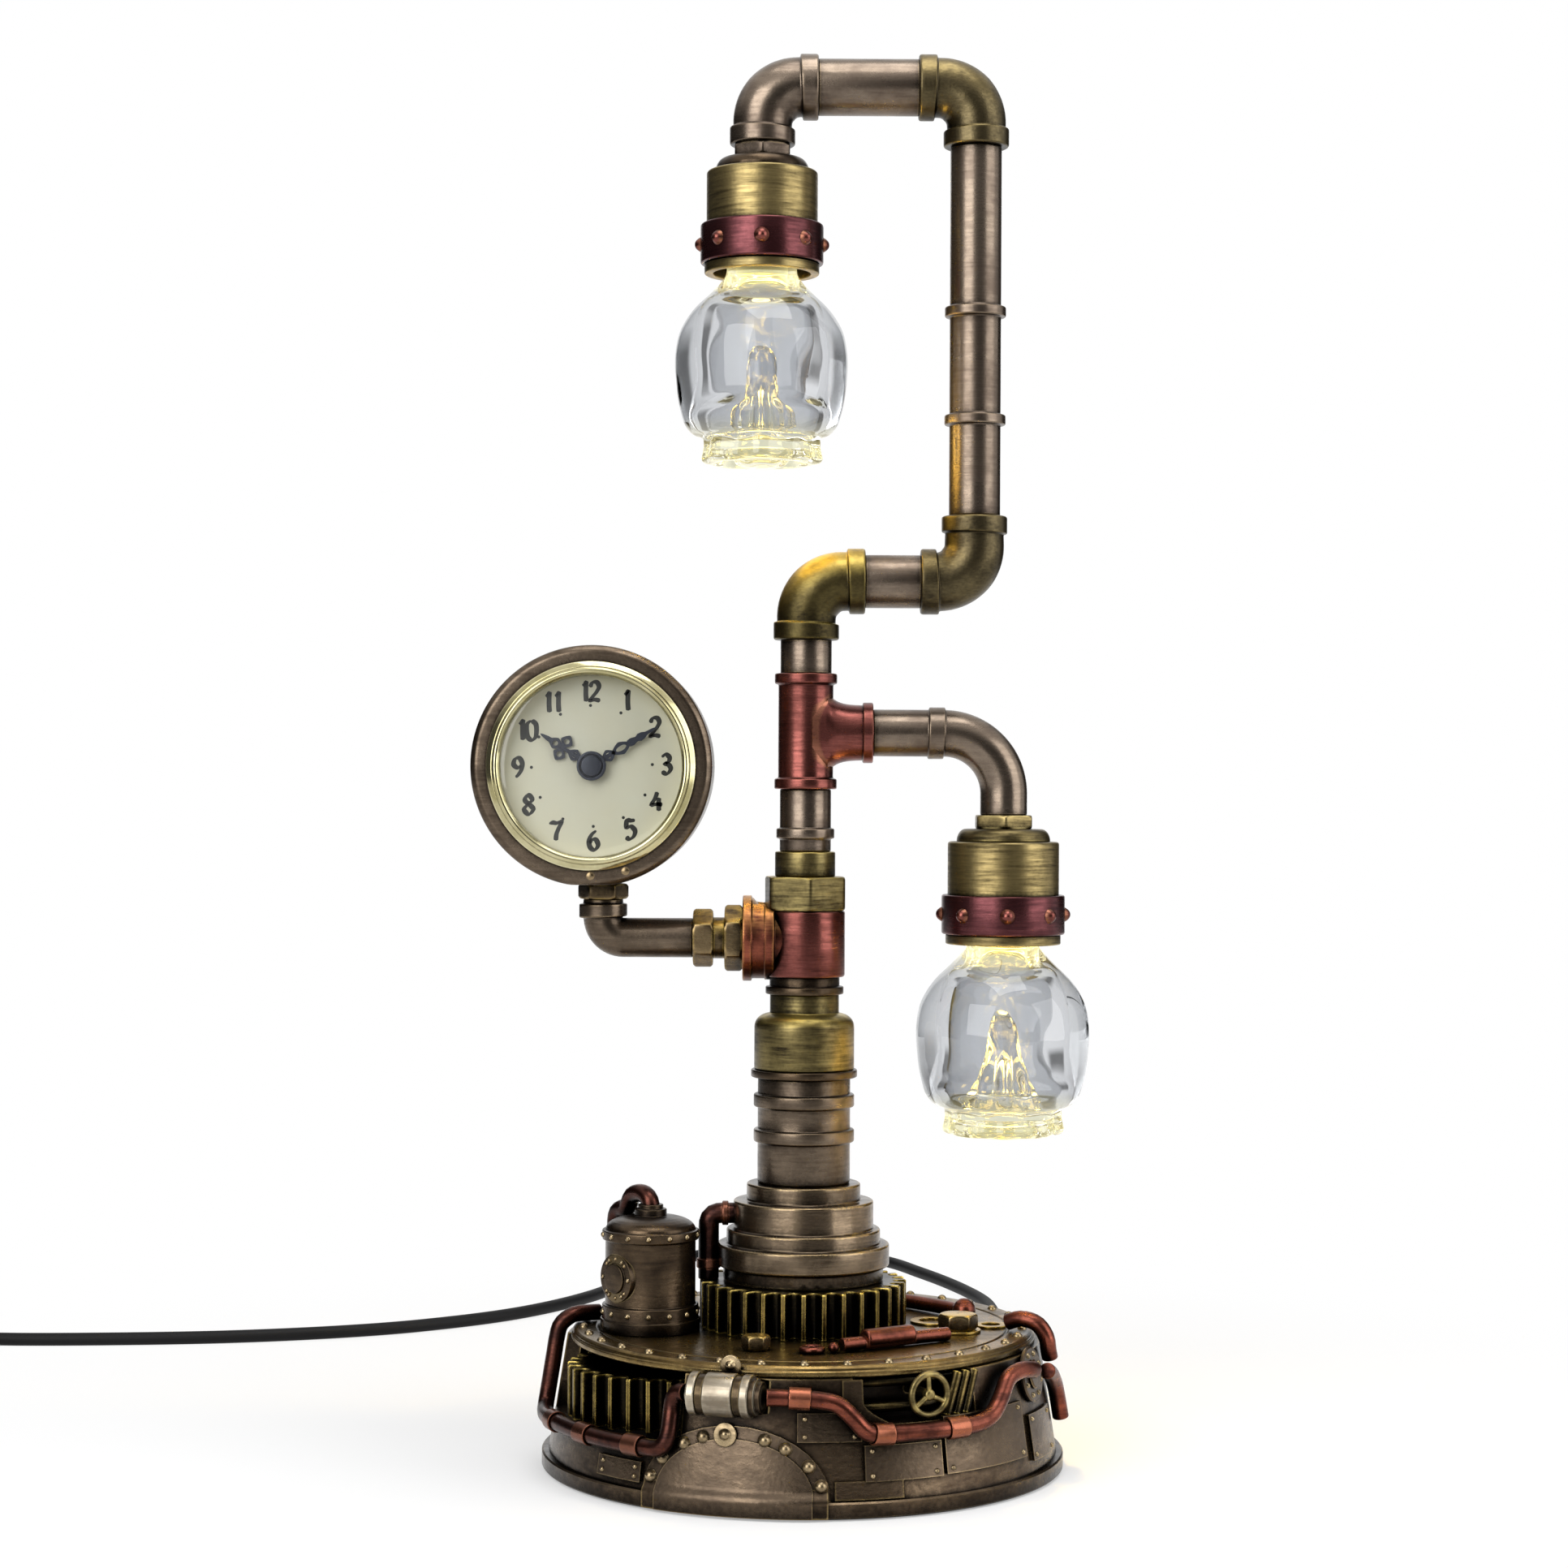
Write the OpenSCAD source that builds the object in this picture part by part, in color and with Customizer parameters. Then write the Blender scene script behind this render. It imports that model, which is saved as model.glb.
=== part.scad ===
/* [Base] */
// How far the foot ring stands out from the drum
foot_edge = 2.2; // [1.6:0.1:4]
// Height of the foot ring
foot_h = 5; // [4:0.5:8]
// Gap that the felt pad leaves under the foot ring
foot_lift = 0.5; // [0.2:0.1:0.9]
// Radius of the drum wall just above the foot ring
drum_bottom_r = 81; // [79:0.5:82]
// How much narrower the drum is under the top plate
drum_taper = 5.5; // [4:0.1:6]
// Height of the drum wall
drum_h = 35; // [34:0.5:42]
// Thickness of the drum wall
drum_wall = 5; // [4:0.5:6]
// How far the top plate's edge lies inside the drum's top edge
plate_inset = 1.5; // [0.8:0.1:2.5]
// Thickness of the top plate
plate_t = 3.5; // [2.5:0.5:5]
// Thickness of the bottom cover
cover_t = 3; // [2.5:0.5:4]
// Thickness of the felt pad
felt_t = 1; // [1:0.1:2]
// Distance of the cover's screws from the inside of the drum's wall
screw_inset = 5; // [4.6:0.1:6]
// Radius of a cover screw's thread
screw_r = 1.4; // [1.2:0.1:1.6]
// Number of rivets round the top plate
rim_rivets = 34; // [20:1:40]
// Distance of the rivets on the top plate from its edge
rivet_inset = 4; // [3:0.1:5]
// Radius of a large rivet head
rivet_r = 1.5; // [1:0.1:1.8]
// Radius of a small rivet head
small_rivet_r = 0.8; // [0.6:0.1:1]

/* [Gears] */
// Number of teeth on both gears
gear_teeth = 32; // [24:1:40]
// Radius over the tooth tips
gear_tip_r = 33; // [31:0.5:33]
// Depth of a tooth
tooth_depth = 4; // [3:0.5:5]
// Height of the gear under the column
column_gear_h = 14.5; // [12:0.5:18]
// Height of the gear in the base window
base_gear_h = 16; // [12:0.5:16]
// How far the base gear's teeth reach past the drum's top edge
gear_show = 3; // [1.5:0.1:3.4]
// Azimuth of the base gear, from the front towards the right
base_gear_az = -64; // [-68:1:-60]
// Radius of the post that carries the base gear
gear_post_r = 5; // [3:0.5:8]

/* [Pedestal] */
// Radius of the pedestal's neck
neck_ring_r = 25.6; // [23:0.2:27]
// Height of the pedestal's neck
neck_ring_h = 4.7; // [3:0.1:8]
// Radius of the pedestal's widest ring
wide_ring_r = 27.5; // [26:0.5:30]
// Height of the pedestal's widest ring
wide_ring_h = 7.1; // [4:0.1:10]
// Radius of the ring on the widest one
third_ring_r = 24.6; // [23:0.2:26]
// Height of the ring on the widest one
third_ring_h = 4.7; // [3:0.1:8]
// Radius of the tall ring
tall_ring_r = 22.4; // [20:0.2:24]
// Height of the tall ring
tall_ring_h = 9; // [8:0.5:12]
// Radius of the top ring
top_ring_r = 18.2; // [16.5:0.2:20]
// Height of the top ring
top_ring_h = 5.5; // [3:0.5:8]

/* [Column] */
// Radius of the lower pipe
lower_pipe_r = 14.8; // [13:0.2:15.5]
// Length of the lower pipe
lower_pipe_h = 33.8; // [32:0.2:40]
// Radius of the collars on the lower pipe
lower_collar_r = 16.1; // [15.8:0.1:18]
// Height of the collars on the lower pipe
lower_collar_h = 4; // [2:0.5:6]
// Radius of the bell coupling's lip
bell_lip_r = 17; // [16.5:0.1:19]
// Radius of the bell coupling's body
bell_r = 16; // [14:0.2:16.4]
// Height of the bell coupling's body with its lip
bell_body_h = 16.2; // [12:0.2:20]
// Height of the bell coupling's round shoulder
bell_shoulder_h = 4.2; // [3:0.1:6]
// Radius of the bell coupling's neck
bell_neck_r = 11.05; // [10:0.1:12]
// Height of the bell coupling's neck
bell_neck_h = 6.2; // [4:0.2:9]
// Height of the flange under the valve block
block_foot_h = 5.5; // [4:0.5:8]
// Radius of the flange under the valve block
block_foot_r = 12.5; // [12:0.1:14]
// Radius of the valve block
block_r = 12.85; // [12:0.1:13.5]
// Height of the valve block
block_h = 21.3; // [21:0.1:26]
// Height of the side port's axis above the block's underside
port_z = 12.2; // [11:0.1:13]
// Radius of the side port's outer disc
port_r = 13.7; // [13:0.1:14]
// Distance from the column axis to the port's outer face
port_reach = 19.9; // [18:0.1:22]
// Height of the hexagon on the block
hex_h = 10.7; // [8:0.1:13]
// Corner radius of the hexagon on the block
hex_r = 14; // [12.5:0.1:15]
// Radius of the sleeve on the hexagon
sleeve_r = 9.65; // [9:0.05:11]
// Height of the sleeve on the hexagon
sleeve_h = 8; // [6:0.5:12]
// Length of the pipe under the tee
column_pipe_h = 20; // [16:0.5:30]
// Radius of the pipes of the column and the riser
pipe_r = 8.2; // [7.5:0.1:8.6]
// Radius of the collars on these pipes
collar_r = 9.8; // [9.4:0.1:11]
// Height of the collars on these pipes
collar_h = 3.2; // [2:0.2:5]
// Height of the tee
tee_h = 37; // [34:0.5:42]
// Height of the tee's branch above its lower face
tee_branch_z = 18.1; // [16:0.1:20]
// Distance from the column axis to the tee's branch face
tee_reach = 21.5; // [19:0.5:25]
// Radius of the tee's body
tee_r = 8.8; // [8.4:0.1:9.5]
// Radius of the tee's flanges
tee_flange_r = 10; // [9.6:0.1:12]
// Length of the pipe over the tee
neck_pipe_h = 10.7; // [6:0.1:20]
// Radius of the tie rod that clamps the column
tie_r = 5; // [4.5:0.1:5.5]
// Radius of the tie rod's bore
tie_bore_r = 3.5; // [3:0.1:3.8]
// Radius of the pipes' bore
bore_r = 5; // [4.5:0.1:5.5]

/* [Arms] */
// Radius of an elbow's tube
elbow_r = 9.4; // [8.8:0.1:10]
// Radius of an elbow's flanges
elbow_flange_r = 10.5; // [10.2:0.1:12]
// Length of an elbow's flanges
elbow_flange_h = 5.4; // [3:0.1:5.4]
// Bend radius of an elbow's axis
elbow_bend_r = 11.8; // [10.5:0.1:11.8]
// First elbow, from its lower face to its level axis
elbow_1_rise = 18.9; // [17.4:0.1:24]
// First elbow, from its upright axis to its side face
elbow_1_reach = 18.8; // [17.4:0.1:24]
// Length of the level pipe between the first two elbows
cross_pipe_l = 17.7; // [10:0.1:30]
// Second elbow, from its side face to its upright axis
elbow_2_reach = 17.2; // [17.2:0.1:24]
// Second elbow, from its level axis to its upper face
elbow_2_rise = 21; // [17.4:0.1:24]
// Length of the riser
riser_h = 118.2; // [100:0.2:140]
// Third elbow, from its lower face to its level axis
elbow_3_rise = 19.1; // [17.4:0.1:24]
// Third elbow, from its upright axis to its side face
elbow_3_reach = 18.5; // [17.4:0.1:24]
// Length of the top pipe
top_pipe_l = 32.1; // [20:0.1:45]
// Radius of the top pipe
top_pipe_r = 9; // [8.2:0.1:9.4]
// Fourth elbow, from its side face to its upright axis
elbow_4_reach = 17.9; // [17.4:0.1:24]
// Fourth elbow, from its level axis to its lower face
elbow_4_drop = 18.8; // [17.4:0.1:24]
// Radius of the lower arm's pipe
branch_r = 7.5; // [7:0.1:8.2]
// Length of the lower arm's level run
branch_run = 22.8; // [18:0.2:30]
// Bend radius of the lower arm
branch_bend_r = 19.2; // [14:0.2:24]
// Length of the lower arm's upright end
branch_drop = 6.9; // [4:0.1:12]
// Radius of the collar on the lower arm
branch_collar_r = 8.3; // [8.25:0.05:10]
// Length of the collar on the lower arm
branch_collar_l = 5; // [3:0.5:8]
// Radius of a lamp lead
lead_r = 1.2; // [0.8:0.1:1.3]

/* [Lamp heads] */
// Corner radius of the hexagon over a lamp head
lamp_nut_r = 10.2; // [9:0.1:11.5]
// Height of the hexagon over a lamp head
lamp_nut_h = 4.4; // [3:0.1:7]
// Height of the socket's dome
socket_dome_h = 4.1; // [3:0.1:6]
// Radius of the socket's barrel
socket_r = 17.8; // [17:0.1:18.4]
// Height of the socket's barrel above its band
socket_h = 17; // [15:0.5:22]
// Radius of the riveted band
band_r = 19.7; // [18.8:0.1:22]
// Height of the riveted band
band_h = 12.6; // [9:0.1:16]
// Number of rivets on a band
band_rivets = 8; // [6:1:12]
// Radius of a band rivet
band_rivet_r = 2.4; // [1.5:0.1:3]
// Radius of the socket's rim
rim_r = 18.4; // [18:0.1:19.5]
// Height of the socket's rim
rim_h = 3.2; // [2:0.1:5]
// Wall of the socket
socket_wall = 2.2; // [1.5:0.1:2.8]
// Radius of the shade's neck
shade_neck_r = 10.8; // [9.5:0.1:11.5]
// Greatest radius of the shade
shade_r = 27.6; // [24:0.1:30]
// Radius of the shade's skirt
skirt_r = 18.4; // [17:0.1:20]
// Height of the shade below the socket
shade_h = 61.5; // [60:0.5:66]
// Height of the skirt
skirt_h = 11; // [9:0.5:12]
// Radius of the hollow in the shade's neck
neck_hollow_r = 8.3; // [7:0.1:9]
// Radius of the hollow in the shade's crown
hollow_r = 11; // [9.2:0.1:13]
// Thickness of the glass under the hollow
shade_floor = 15; // [13:0.5:17]
// Height of the spire in the hollow
spire_h = 22; // [16:0.5:26]
// Radius of the spire at its foot
spire_r = 5.2; // [4:0.1:6]

/* [Clock] */
// Radius of the clock case
case_r = 38.1; // [36:0.1:42]
// Depth of the clock case
case_d = 38; // [30:0.5:45]
// Distance that the case stands in front of the column axis
case_front = 20; // [15:0.5:24]
// Wall of the case's back
case_back_t = 4; // [3:0.5:6]
// Sideways offset of the case from its stem
case_shift = -3; // [-4:0.5:0]
// Depth of the flat that the case stands on
case_flat = 0.6; // [0.4:0.1:1.2]
// Radius of the insert's cup
insert_r = 30.2; // [29.5:0.1:31]
// Depth of the insert's cup
insert_d = 15; // [14.5:0.5:18]
// Outer radius of the bezel
bezel_r = 33; // [32.5:0.1:35]
// Height of the bezel in front of the case
bezel_h = 2.8; // [2.4:0.1:4]
// Radius of the dial that shows
dial_r = 28.6; // [28:0.1:29]
// Depth of the dial's face behind the case's front
dial_z = 5.4; // [5.2:0.1:6]
// Length of the hour hand
hour_l = 19.1; // [14:0.1:20]
// Length of the minute hand
minute_l = 23.9; // [20:0.1:26]
// Radius of the cap over the hands
hub_r = 4.65; // [3.5:0.05:5]
// Dial angle of the hour hand, clockwise from 12
hour_angle = 303.5; // [0:0.5:360]
// Dial angle of the minute hand, clockwise from 12
minute_angle = 60.5; // [0:0.5:360]
// How far the insert leans in its case
dial_lean = -1.6; // [-3:0.1:3]
// Radius of the clock stem's pipe
stem_r = 6.3; // [5.6:0.1:6.4]
// Bend radius of the clock stem
stem_bend_r = 6.5; // [6.5:0.1:10]
// Length of the stem's level pipe
stem_run = 22.3; // [16:0.1:30]
// Corner radius of the nut under the case
stem_nut_r = 8.15; // [7.8:0.05:9.5]
// Height of the nut under the case
stem_nut_h = 5; // [4:0.1:7]
// Corner radius of the union nut at the port
union_nut_r = 10.7; // [10:0.1:12]
// Corner radius of the union nut at the stem
outer_nut_r = 9.4; // [9:0.1:11]

/* [Base details] */
// Radius of the copper pipes on the drum
drum_pipe_r = 2.6; // [2.2:0.1:2.7]
// Radius of the handwheel
wheel_r = 7.1; // [6:0.1:7.2]
// Azimuth of the handwheel
wheel_az = 28; // [26:0.5:30]
// Height of the handwheel
wheel_z = 35.2; // [35:0.1:36]
// Radius of the handwheel's spindle
spindle_r = 1.5; // [1:0.1:2]
// Radius of the capsule on the drum
capsule_r = 6.5; // [5.5:0.1:7]
// Length of the capsule on the drum
capsule_l = 23.5; // [20:0.5:26]
// Azimuth of the capsule
capsule_az = -17; // [-18:0.5:-16]
// Height of the capsule's axis
capsule_z = 36; // [35.5:0.1:36.5]
// Azimuth of the arched plate's middle
arch_az = -15.3; // [-15.8:0.1:-14.8]
// Half width of the arched plate
arch_half_w = 29; // [26:0.5:29]
// Height of the arched plate
arch_h = 21.3; // [20:0.1:22]
// Thickness of the plates on the drum
patch_t = 1.2; // [0.8:0.1:1.6]
// Gap between the tank's foot and the column's gear
tank_gear_gap = 0.7; // [0.5:0.1:1.2]
// Gap between the tank's foot and the ring of rivets
tank_rim_gap = 3.2; // [2.8:0.1:4]
// Height of the tank up to its dome
tank_h = 31.7; // [28:0.1:36]
// Angle of the tank round the lamp axis, from the left towards the front
tank_az = 11.65; // [9:0.05:14]

/* [Cord] */
// Diameter of the mains cord
cord_d = 5; // [5:0.1:5.4]
// Height of the cord's gland above the table
gland_z = 11.4; // [11.2:0.1:12]
// Distance between the middles of neighbouring turns of the coil
coil_pitch = 5.7; // [5.7:0.1:6]
// Radius of the coil's innermost turn
coil_in_r = 21.5; // [20:0.5:23]
// Turns in each layer of the coil
coil_turns = 2.625; // [2.625:1:3.625]
// Thickness of the tie round the coil
tie_t = 0.8; // [0.6:0.1:1]
// Width of the plug
plug_w = 28; // [26:0.5:36]
// Length of the plug's body
plug_l = 36; // [30:0.5:44]
// Radius of a plug pin
pin_r = 2; // [1.8:0.1:2.4]
// Length of a plug pin
pin_l = 19; // [17:0.5:20]
// Distance between the plug pins
pin_gap = 18.6; // [17:0.1:19]

/* [Hidden] */
$fn = 72;

bronze = [0.45, 0.38, 0.32];
brass = [0.52, 0.46, 0.26];
copper = [0.55, 0.27, 0.22];
dark_gold = [0.3, 0.25, 0.12];
clear_glass = [0.85, 0.9, 0.92, 0.4];
black = [0.06, 0.06, 0.07];
cream = [0.87, 0.85, 0.74];
white = [0.9, 0.9, 0.88];

// Slip clearance of fixed pieces, running clearance of turning ones, air between neighbours, gap under plates
slip = 0.15;
run = 0.08;
air = 0.3;
seat_gap = 0.05;
rivet_gap = 0.03;
edge = 0.5;

// Radii of the base, from the drum's own
foot_r = drum_bottom_r + foot_edge;
drum_top_r = drum_bottom_r - drum_taper;
plate_r = drum_top_r - plate_inset;
rim_circle_r = plate_r - rivet_inset;
screw_circle_r = drum_bottom_r - drum_wall - screw_inset;
base_gear_reach = drum_top_r + gear_show - gear_tip_r;
// Scale of the hand-placed details on the plate and on the wall
plan = plate_r / 74;
rise = drum_h / 35;

// The tank's foot fills the plate between the column's gear and the ring of rivets
tank_foot_r = (rim_circle_r - rivet_r - tank_rim_gap - gear_tip_r - tank_gear_gap) / 2;
tank_r = tank_foot_r - 1.5;
tank_reach = gear_tip_r + tank_gear_gap + tank_foot_r;
tank_x = -tank_reach * cos(tank_az);
tank_y = -tank_reach * sin(tank_az);

// Heights of the base, from the table
foot_top = foot_lift + foot_h;
drum_top = foot_top + drum_h;
plate_top = drum_top + plate_t;
cover_top = felt_t + cover_t;
wall_slope = (drum_bottom_r - drum_top_r) / drum_h;
wall_lean = atan(wall_slope);
function drum_r(z) = drum_bottom_r - wall_slope * (z - foot_top);

// Heights of the column's joints
gear_top = plate_top + column_gear_h;
pedestal_top = gear_top + neck_ring_h + wide_ring_h + third_ring_h + tall_ring_h + top_ring_h;
lower_pipe_top = pedestal_top + lower_pipe_h;
bell_top = lower_pipe_top + bell_body_h + bell_shoulder_h + bell_neck_h;
block_bottom = bell_top + block_foot_h;
block_top = block_bottom + block_h;
hex_top = block_top + hex_h;
sleeve_top = hex_top + sleeve_h;
column_pipe_top = sleeve_top + column_pipe_h;
tee_top = column_pipe_top + tee_h;
branch_z = column_pipe_top + tee_branch_z;
neck_pipe_top = tee_top + neck_pipe_h;
port_axis_z = block_bottom + port_z;

// Axes of the upper arm
cross_z = neck_pipe_top + elbow_1_rise;
riser_x = elbow_1_reach + cross_pipe_l + elbow_2_reach;
riser_bottom = cross_z + elbow_2_rise;
riser_top = riser_bottom + riser_h;
top_z = riser_top + elbow_3_rise;
upper_x = riser_x - elbow_3_reach - top_pipe_l - elbow_4_reach;
upper_lamp_z = top_z - elbow_4_drop;

// Axis of the lower arm
lower_x = tee_reach + branch_run + branch_bend_r;
lower_lamp_z = branch_z - branch_bend_r - branch_drop;

// Heights inside a lamp head, downwards from its hexagon's upper face
dome_z = -lamp_nut_h - socket_dome_h;
band_top_z = dome_z - socket_h;
band_bottom_z = band_top_z - band_h;
rim_z = band_bottom_z - rim_h;
socket_bore_r = socket_r - socket_wall;
led_z = dome_z - socket_wall - 2;
led_t = 5;
grommet_z = rim_z + 3.3;
grommet_h = 12;
shade_neck_h = 14;

// Clock places
stem_x = -port_reach - 15.9 - stem_run - stem_bend_r;
stem_flange_h = 4.3;
stem_neck_h = 1.5;
stem_top = port_axis_z + stem_bend_r + stem_flange_h + stem_neck_h;
clock_x = stem_x + case_shift;
clock_z = stem_top + stem_nut_h + case_r - case_flat;
hand_t = 0.4;
hour_hand_z = -dial_z + 0.8;
minute_hand_z = hour_hand_z + 1;
arbor_r = 1.5;
hour_tube_r = arbor_r + 0.9;
knob_place = [9, -9];
movement_half = 20;
cup_floor = 1.5;
movement_front = -dial_z - 0.6;

// Base details
window_az = [-92, -28];
window_z = 17;
pocket_az = [11, 42];
pocket_z = 27;
pocket_r = drum_top_r - 8.5;
pocket_wall = 4;
gear_clear = 1;
base_gear_z = foot_top + 14;
base_gear_x = base_gear_reach * sin(base_gear_az);
base_gear_y = -base_gear_reach * cos(base_gear_az);
capsule_reach = drum_r(capsule_z) + 3.8;
port_disc_az = 66;
port_disc_z = foot_top + 28.5 * drum_h / 35;
port_disc_r = 8.5;
boss_h = 12;
boss_r = 5.6;
screw_az = [45, 135, 225, 315];

// Cord places: the gland, the hand-chosen lay over the table behind it and the coil past its end
gland_x = 30;
gland_wall = sqrt(pow(drum_r(gland_z), 2) - gland_x * gland_x);
gland_in = gland_wall - 11.7;
gland_end = gland_wall + 25.76;
driver_y = 28;
driver_d = 22;
cord_r = cord_d / 2;
table_z = cord_r;
coil_z = tie_t + 0.1 + cord_r;
lay = [[30, 0, gland_z], [30, 12, gland_z], [32, 27, 10], [37, 43, 7.6], [45, 61, 4.8],
  [55, 82, 2.9], [66, 106, 2.5], [75, 134, 2.5], [79, 163, 2.5], [78, 193, 2.5], [72, 221, 2.5],
  [63, 250, 2.5], [53, 276, 2.5], [43, 300, 2.5],
  [28, 322, 2.5], [6, 336, 2.5], [-20, 336, 2.5], [-43, 322, 2.5], [-58, 298, 2.5], [-68, 268, 2.5],
  [-75, 240, 2.5], [-83, 214, 2.5], [-94, 191, 2.5], [-107, 171, 2.5], [-121, 155, 2.5], [-139, 140, 2.5],
  [-161, 126, 2.5], [-190, 114, 2.5], [-224, 105, 2.5], [-262, 100, 2.5], [-300, 98, 2.5], [-330, 98, 3],
  [-347, 98, coil_z]];
route = [for (p = lay) [p[0], p[1] + gland_end, p[2]]];
coil_out_r = coil_in_r + coil_pitch * coil_turns;
coil_x = route[len(route) - 1][0] - cord_d;
coil_y = route[len(route) - 1][1] - coil_out_r;
coil_top_z = coil_z + coil_pitch;
coil_steps = 24;
plug_x = coil_x - coil_out_r;
plug_y = coil_y - cord_d;
plug_neck_l = 22;
tie_az = 150;

// Sweeps: unit vectors, points on a smooth curve, and a closed tube round a path
function unit(v) = v / norm(v);
function spline(p, i, t) = let (
    a = p[max(i - 1, 0)],
    b = p[i],
    c = p[i + 1],
    d = p[min(i + 2, len(p) - 1)]
  ) 0.5 * (2 * b + (c - a) * t + (2 * a - 5 * b + 4 * c - d) * t * t + (3 * b - a - 3 * c + d) * t * t * t);
function smooth(p, steps) = concat(
  [for (i = [0:len(p) - 2]) for (k = [0:steps - 1]) spline(p, i, k / steps)], [p[len(p) - 1]]);
function bow(a, p, b, d, t) = let (s = p + d * unit(a - p), e = p + d * unit(b - p))
  (1 - t) * (1 - t) * s + 2 * t * (1 - t) * p + t * t * e;
function rounded(p, d, steps) = concat([p[0]], [for (i = [1:len(p) - 2]) for (k = [0:steps])
  bow(p[i - 1], p[i], p[i + 1], is_list(d) ? d[i - 1] : d, k / steps)], [p[len(p) - 1]]);
function heading(p, i) = unit(p[min(i + 1, len(p) - 1)] - p[max(i - 1, 0)]);
function ring(p, i, r, sides, ref) = let (
    t = heading(p, i),
    s = unit(cross(t, ref == "out" ? [p[i][0], p[i][1], 0] : ref)),
    u = cross(s, t)
  ) [for (k = [0:sides - 1]) p[i] + r * (cos(360 * k / sides) * s + sin(360 * k / sides) * u)];
module tube(p, r, sides, ref = [0, 0, 1]) {
  n = len(p);
  points = [for (i = [0:n - 1]) each ring(p, i, r, sides, ref)];
  walls = [for (i = [0:n - 2]) for (k = [0:sides - 1])
    let (a = i * sides + k, b = i * sides + (k + 1) % sides)
    each [[a, b, b + sides], [a, b + sides, a + sides]]];
  caps = [for (k = [1:sides - 2])
    each [[0, k + 1, k], [(n - 1) * sides, (n - 1) * sides + k, (n - 1) * sides + k + 1]]];
  polyhedron(points, concat(walls, caps));
}

// Turned pieces: the outline runs from bottom to top as [radius, height] points
function disc(r, z, h, e = edge) = [[r - e, z], [r, z + e], [r, z + h - e], [r - e, z + h]];
module turned(outline, bore) {
  rotate_extrude()
    polygon(concat([[bore, outline[0][1]]], outline, [[bore, outline[len(outline) - 1][1]]]));
}
module hexagon(r, h, bore) {
  difference() {
    intersection() {
      cylinder(r = r, h = h, $fn = 6);
      turned(disc(r, 0, h, 0.9), 0);
    }
    translate([0, 0, -1])
      cylinder(r = bore, h = h + 2);
  }
}
module dome(r, h) {
  cap_r = (r * r + h * h) / (2 * h);
  intersection() {
    translate([0, 0, h - cap_r])
      sphere(r = cap_r);
    cylinder(r = r + 1, h = h + 1);
  }
}
module quarter(tube_r, bend_r) {
  rotate_extrude(angle = 90)
    translate([bend_r, 0])
      circle(r = tube_r);
}

// Places: on the drum wall with +Z outwards, along +X, on a lamp axis, and in front of the clock
function wall_z(z) = foot_top + (z - 5.5) * rise;
function wall_point(az, z, out) = [(drum_r(z) + out) * sin(az), -(drum_r(z) + out) * cos(az), z];
module at_wall(az, z, out = 0) {
  translate(wall_point(az, z, out))
    rotate([90 - wall_lean, 0, az])
      children();
}
module along_x(x, z) {
  translate([x, 0, z])
    rotate([0, 90, 0])
      children();
}
module at_lamps(upper = true, lower = true) {
  if (upper) translate([upper_x, 0, upper_lamp_z]) children();
  if (lower) translate([lower_x, 0, lower_lamp_z]) children();
}
module at_clock() {
  translate([clock_x, -case_front, clock_z])
    rotate([90, dial_lean, 0])
      children();
}
module sector(r0, r1, z0, z1, az) {
  rotate([0, 0, az[0] - 90])
    rotate_extrude(angle = az[1] - az[0])
      polygon([[r0, z0], [r1, z0], [r1, z1], [r0, z1]]);
}
module wall_patch(az, z, t) {
  rotate([0, 0, az[0] - 90])
    rotate_extrude(angle = az[1] - az[0])
      polygon([[drum_r(z[0]) + seat_gap, z[0]], [drum_r(z[0]) + t, z[0]], [drum_r(z[1]) + t, z[1]],
        [drum_r(z[1]) + seat_gap, z[1]]]);
}
module at_screws() {
  for (a = screw_az)
    rotate([0, 0, a])
      translate([screw_circle_r, 0, 0])
        children();
}

module gear(h, bore) {
  root_r = gear_tip_r - tooth_depth;
  pitch = 360 / gear_teeth;
  linear_extrude(h)
    difference() {
      polygon([for (i = [0:gear_teeth - 1]) each [
        for (c = [[root_r, -0.36], [gear_tip_r, -0.2], [gear_tip_r, 0.2], [root_r, 0.36]])
          c[0] * [cos((i + c[1]) * pitch), sin((i + c[1]) * pitch)]]]);
      circle(r = bore);
    }
}

module felt_pad() {
  color([0.12, 0.12, 0.12])
    difference() {
      cylinder(r = screw_circle_r + 3, h = felt_t);
      at_screws()
        translate([0, 0, -1])
          cylinder(r = 3.4, h = felt_t + 2);
    }
}

module base_cover() {
  color([0.2, 0.19, 0.18]) {
    difference() {
      union() {
        translate([0, 0, felt_t])
          cylinder(r = drum_bottom_r - drum_wall - air, h = cover_t);
        translate([base_gear_x, base_gear_y, cover_top - 0.5])
          cylinder(r = gear_post_r, h = base_gear_z + base_gear_h - cover_top + 0.5);
        translate([base_gear_x, base_gear_y, cover_top - 0.5])
          cylinder(r = gear_post_r + 3, h = base_gear_z - cover_top + 0.5);
      }
      at_screws() {
        translate([0, 0, felt_t - 1])
          cylinder(r = screw_r + air, h = cover_t + 2);
        translate([0, 0, felt_t - 1])
          cylinder(r = 3, h = 2.6);
      }
    }
  }
}

module cover_screws() {
  color("silver")
    at_screws() {
      translate([0, 0, felt_t + 0.1])
        cylinder(r = 2.8, h = 1.5);
      translate([0, 0, felt_t + 1.6])
        cylinder(r = screw_r, h = cover_t - 1.6 + boss_h - 2);
    }
}

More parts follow.
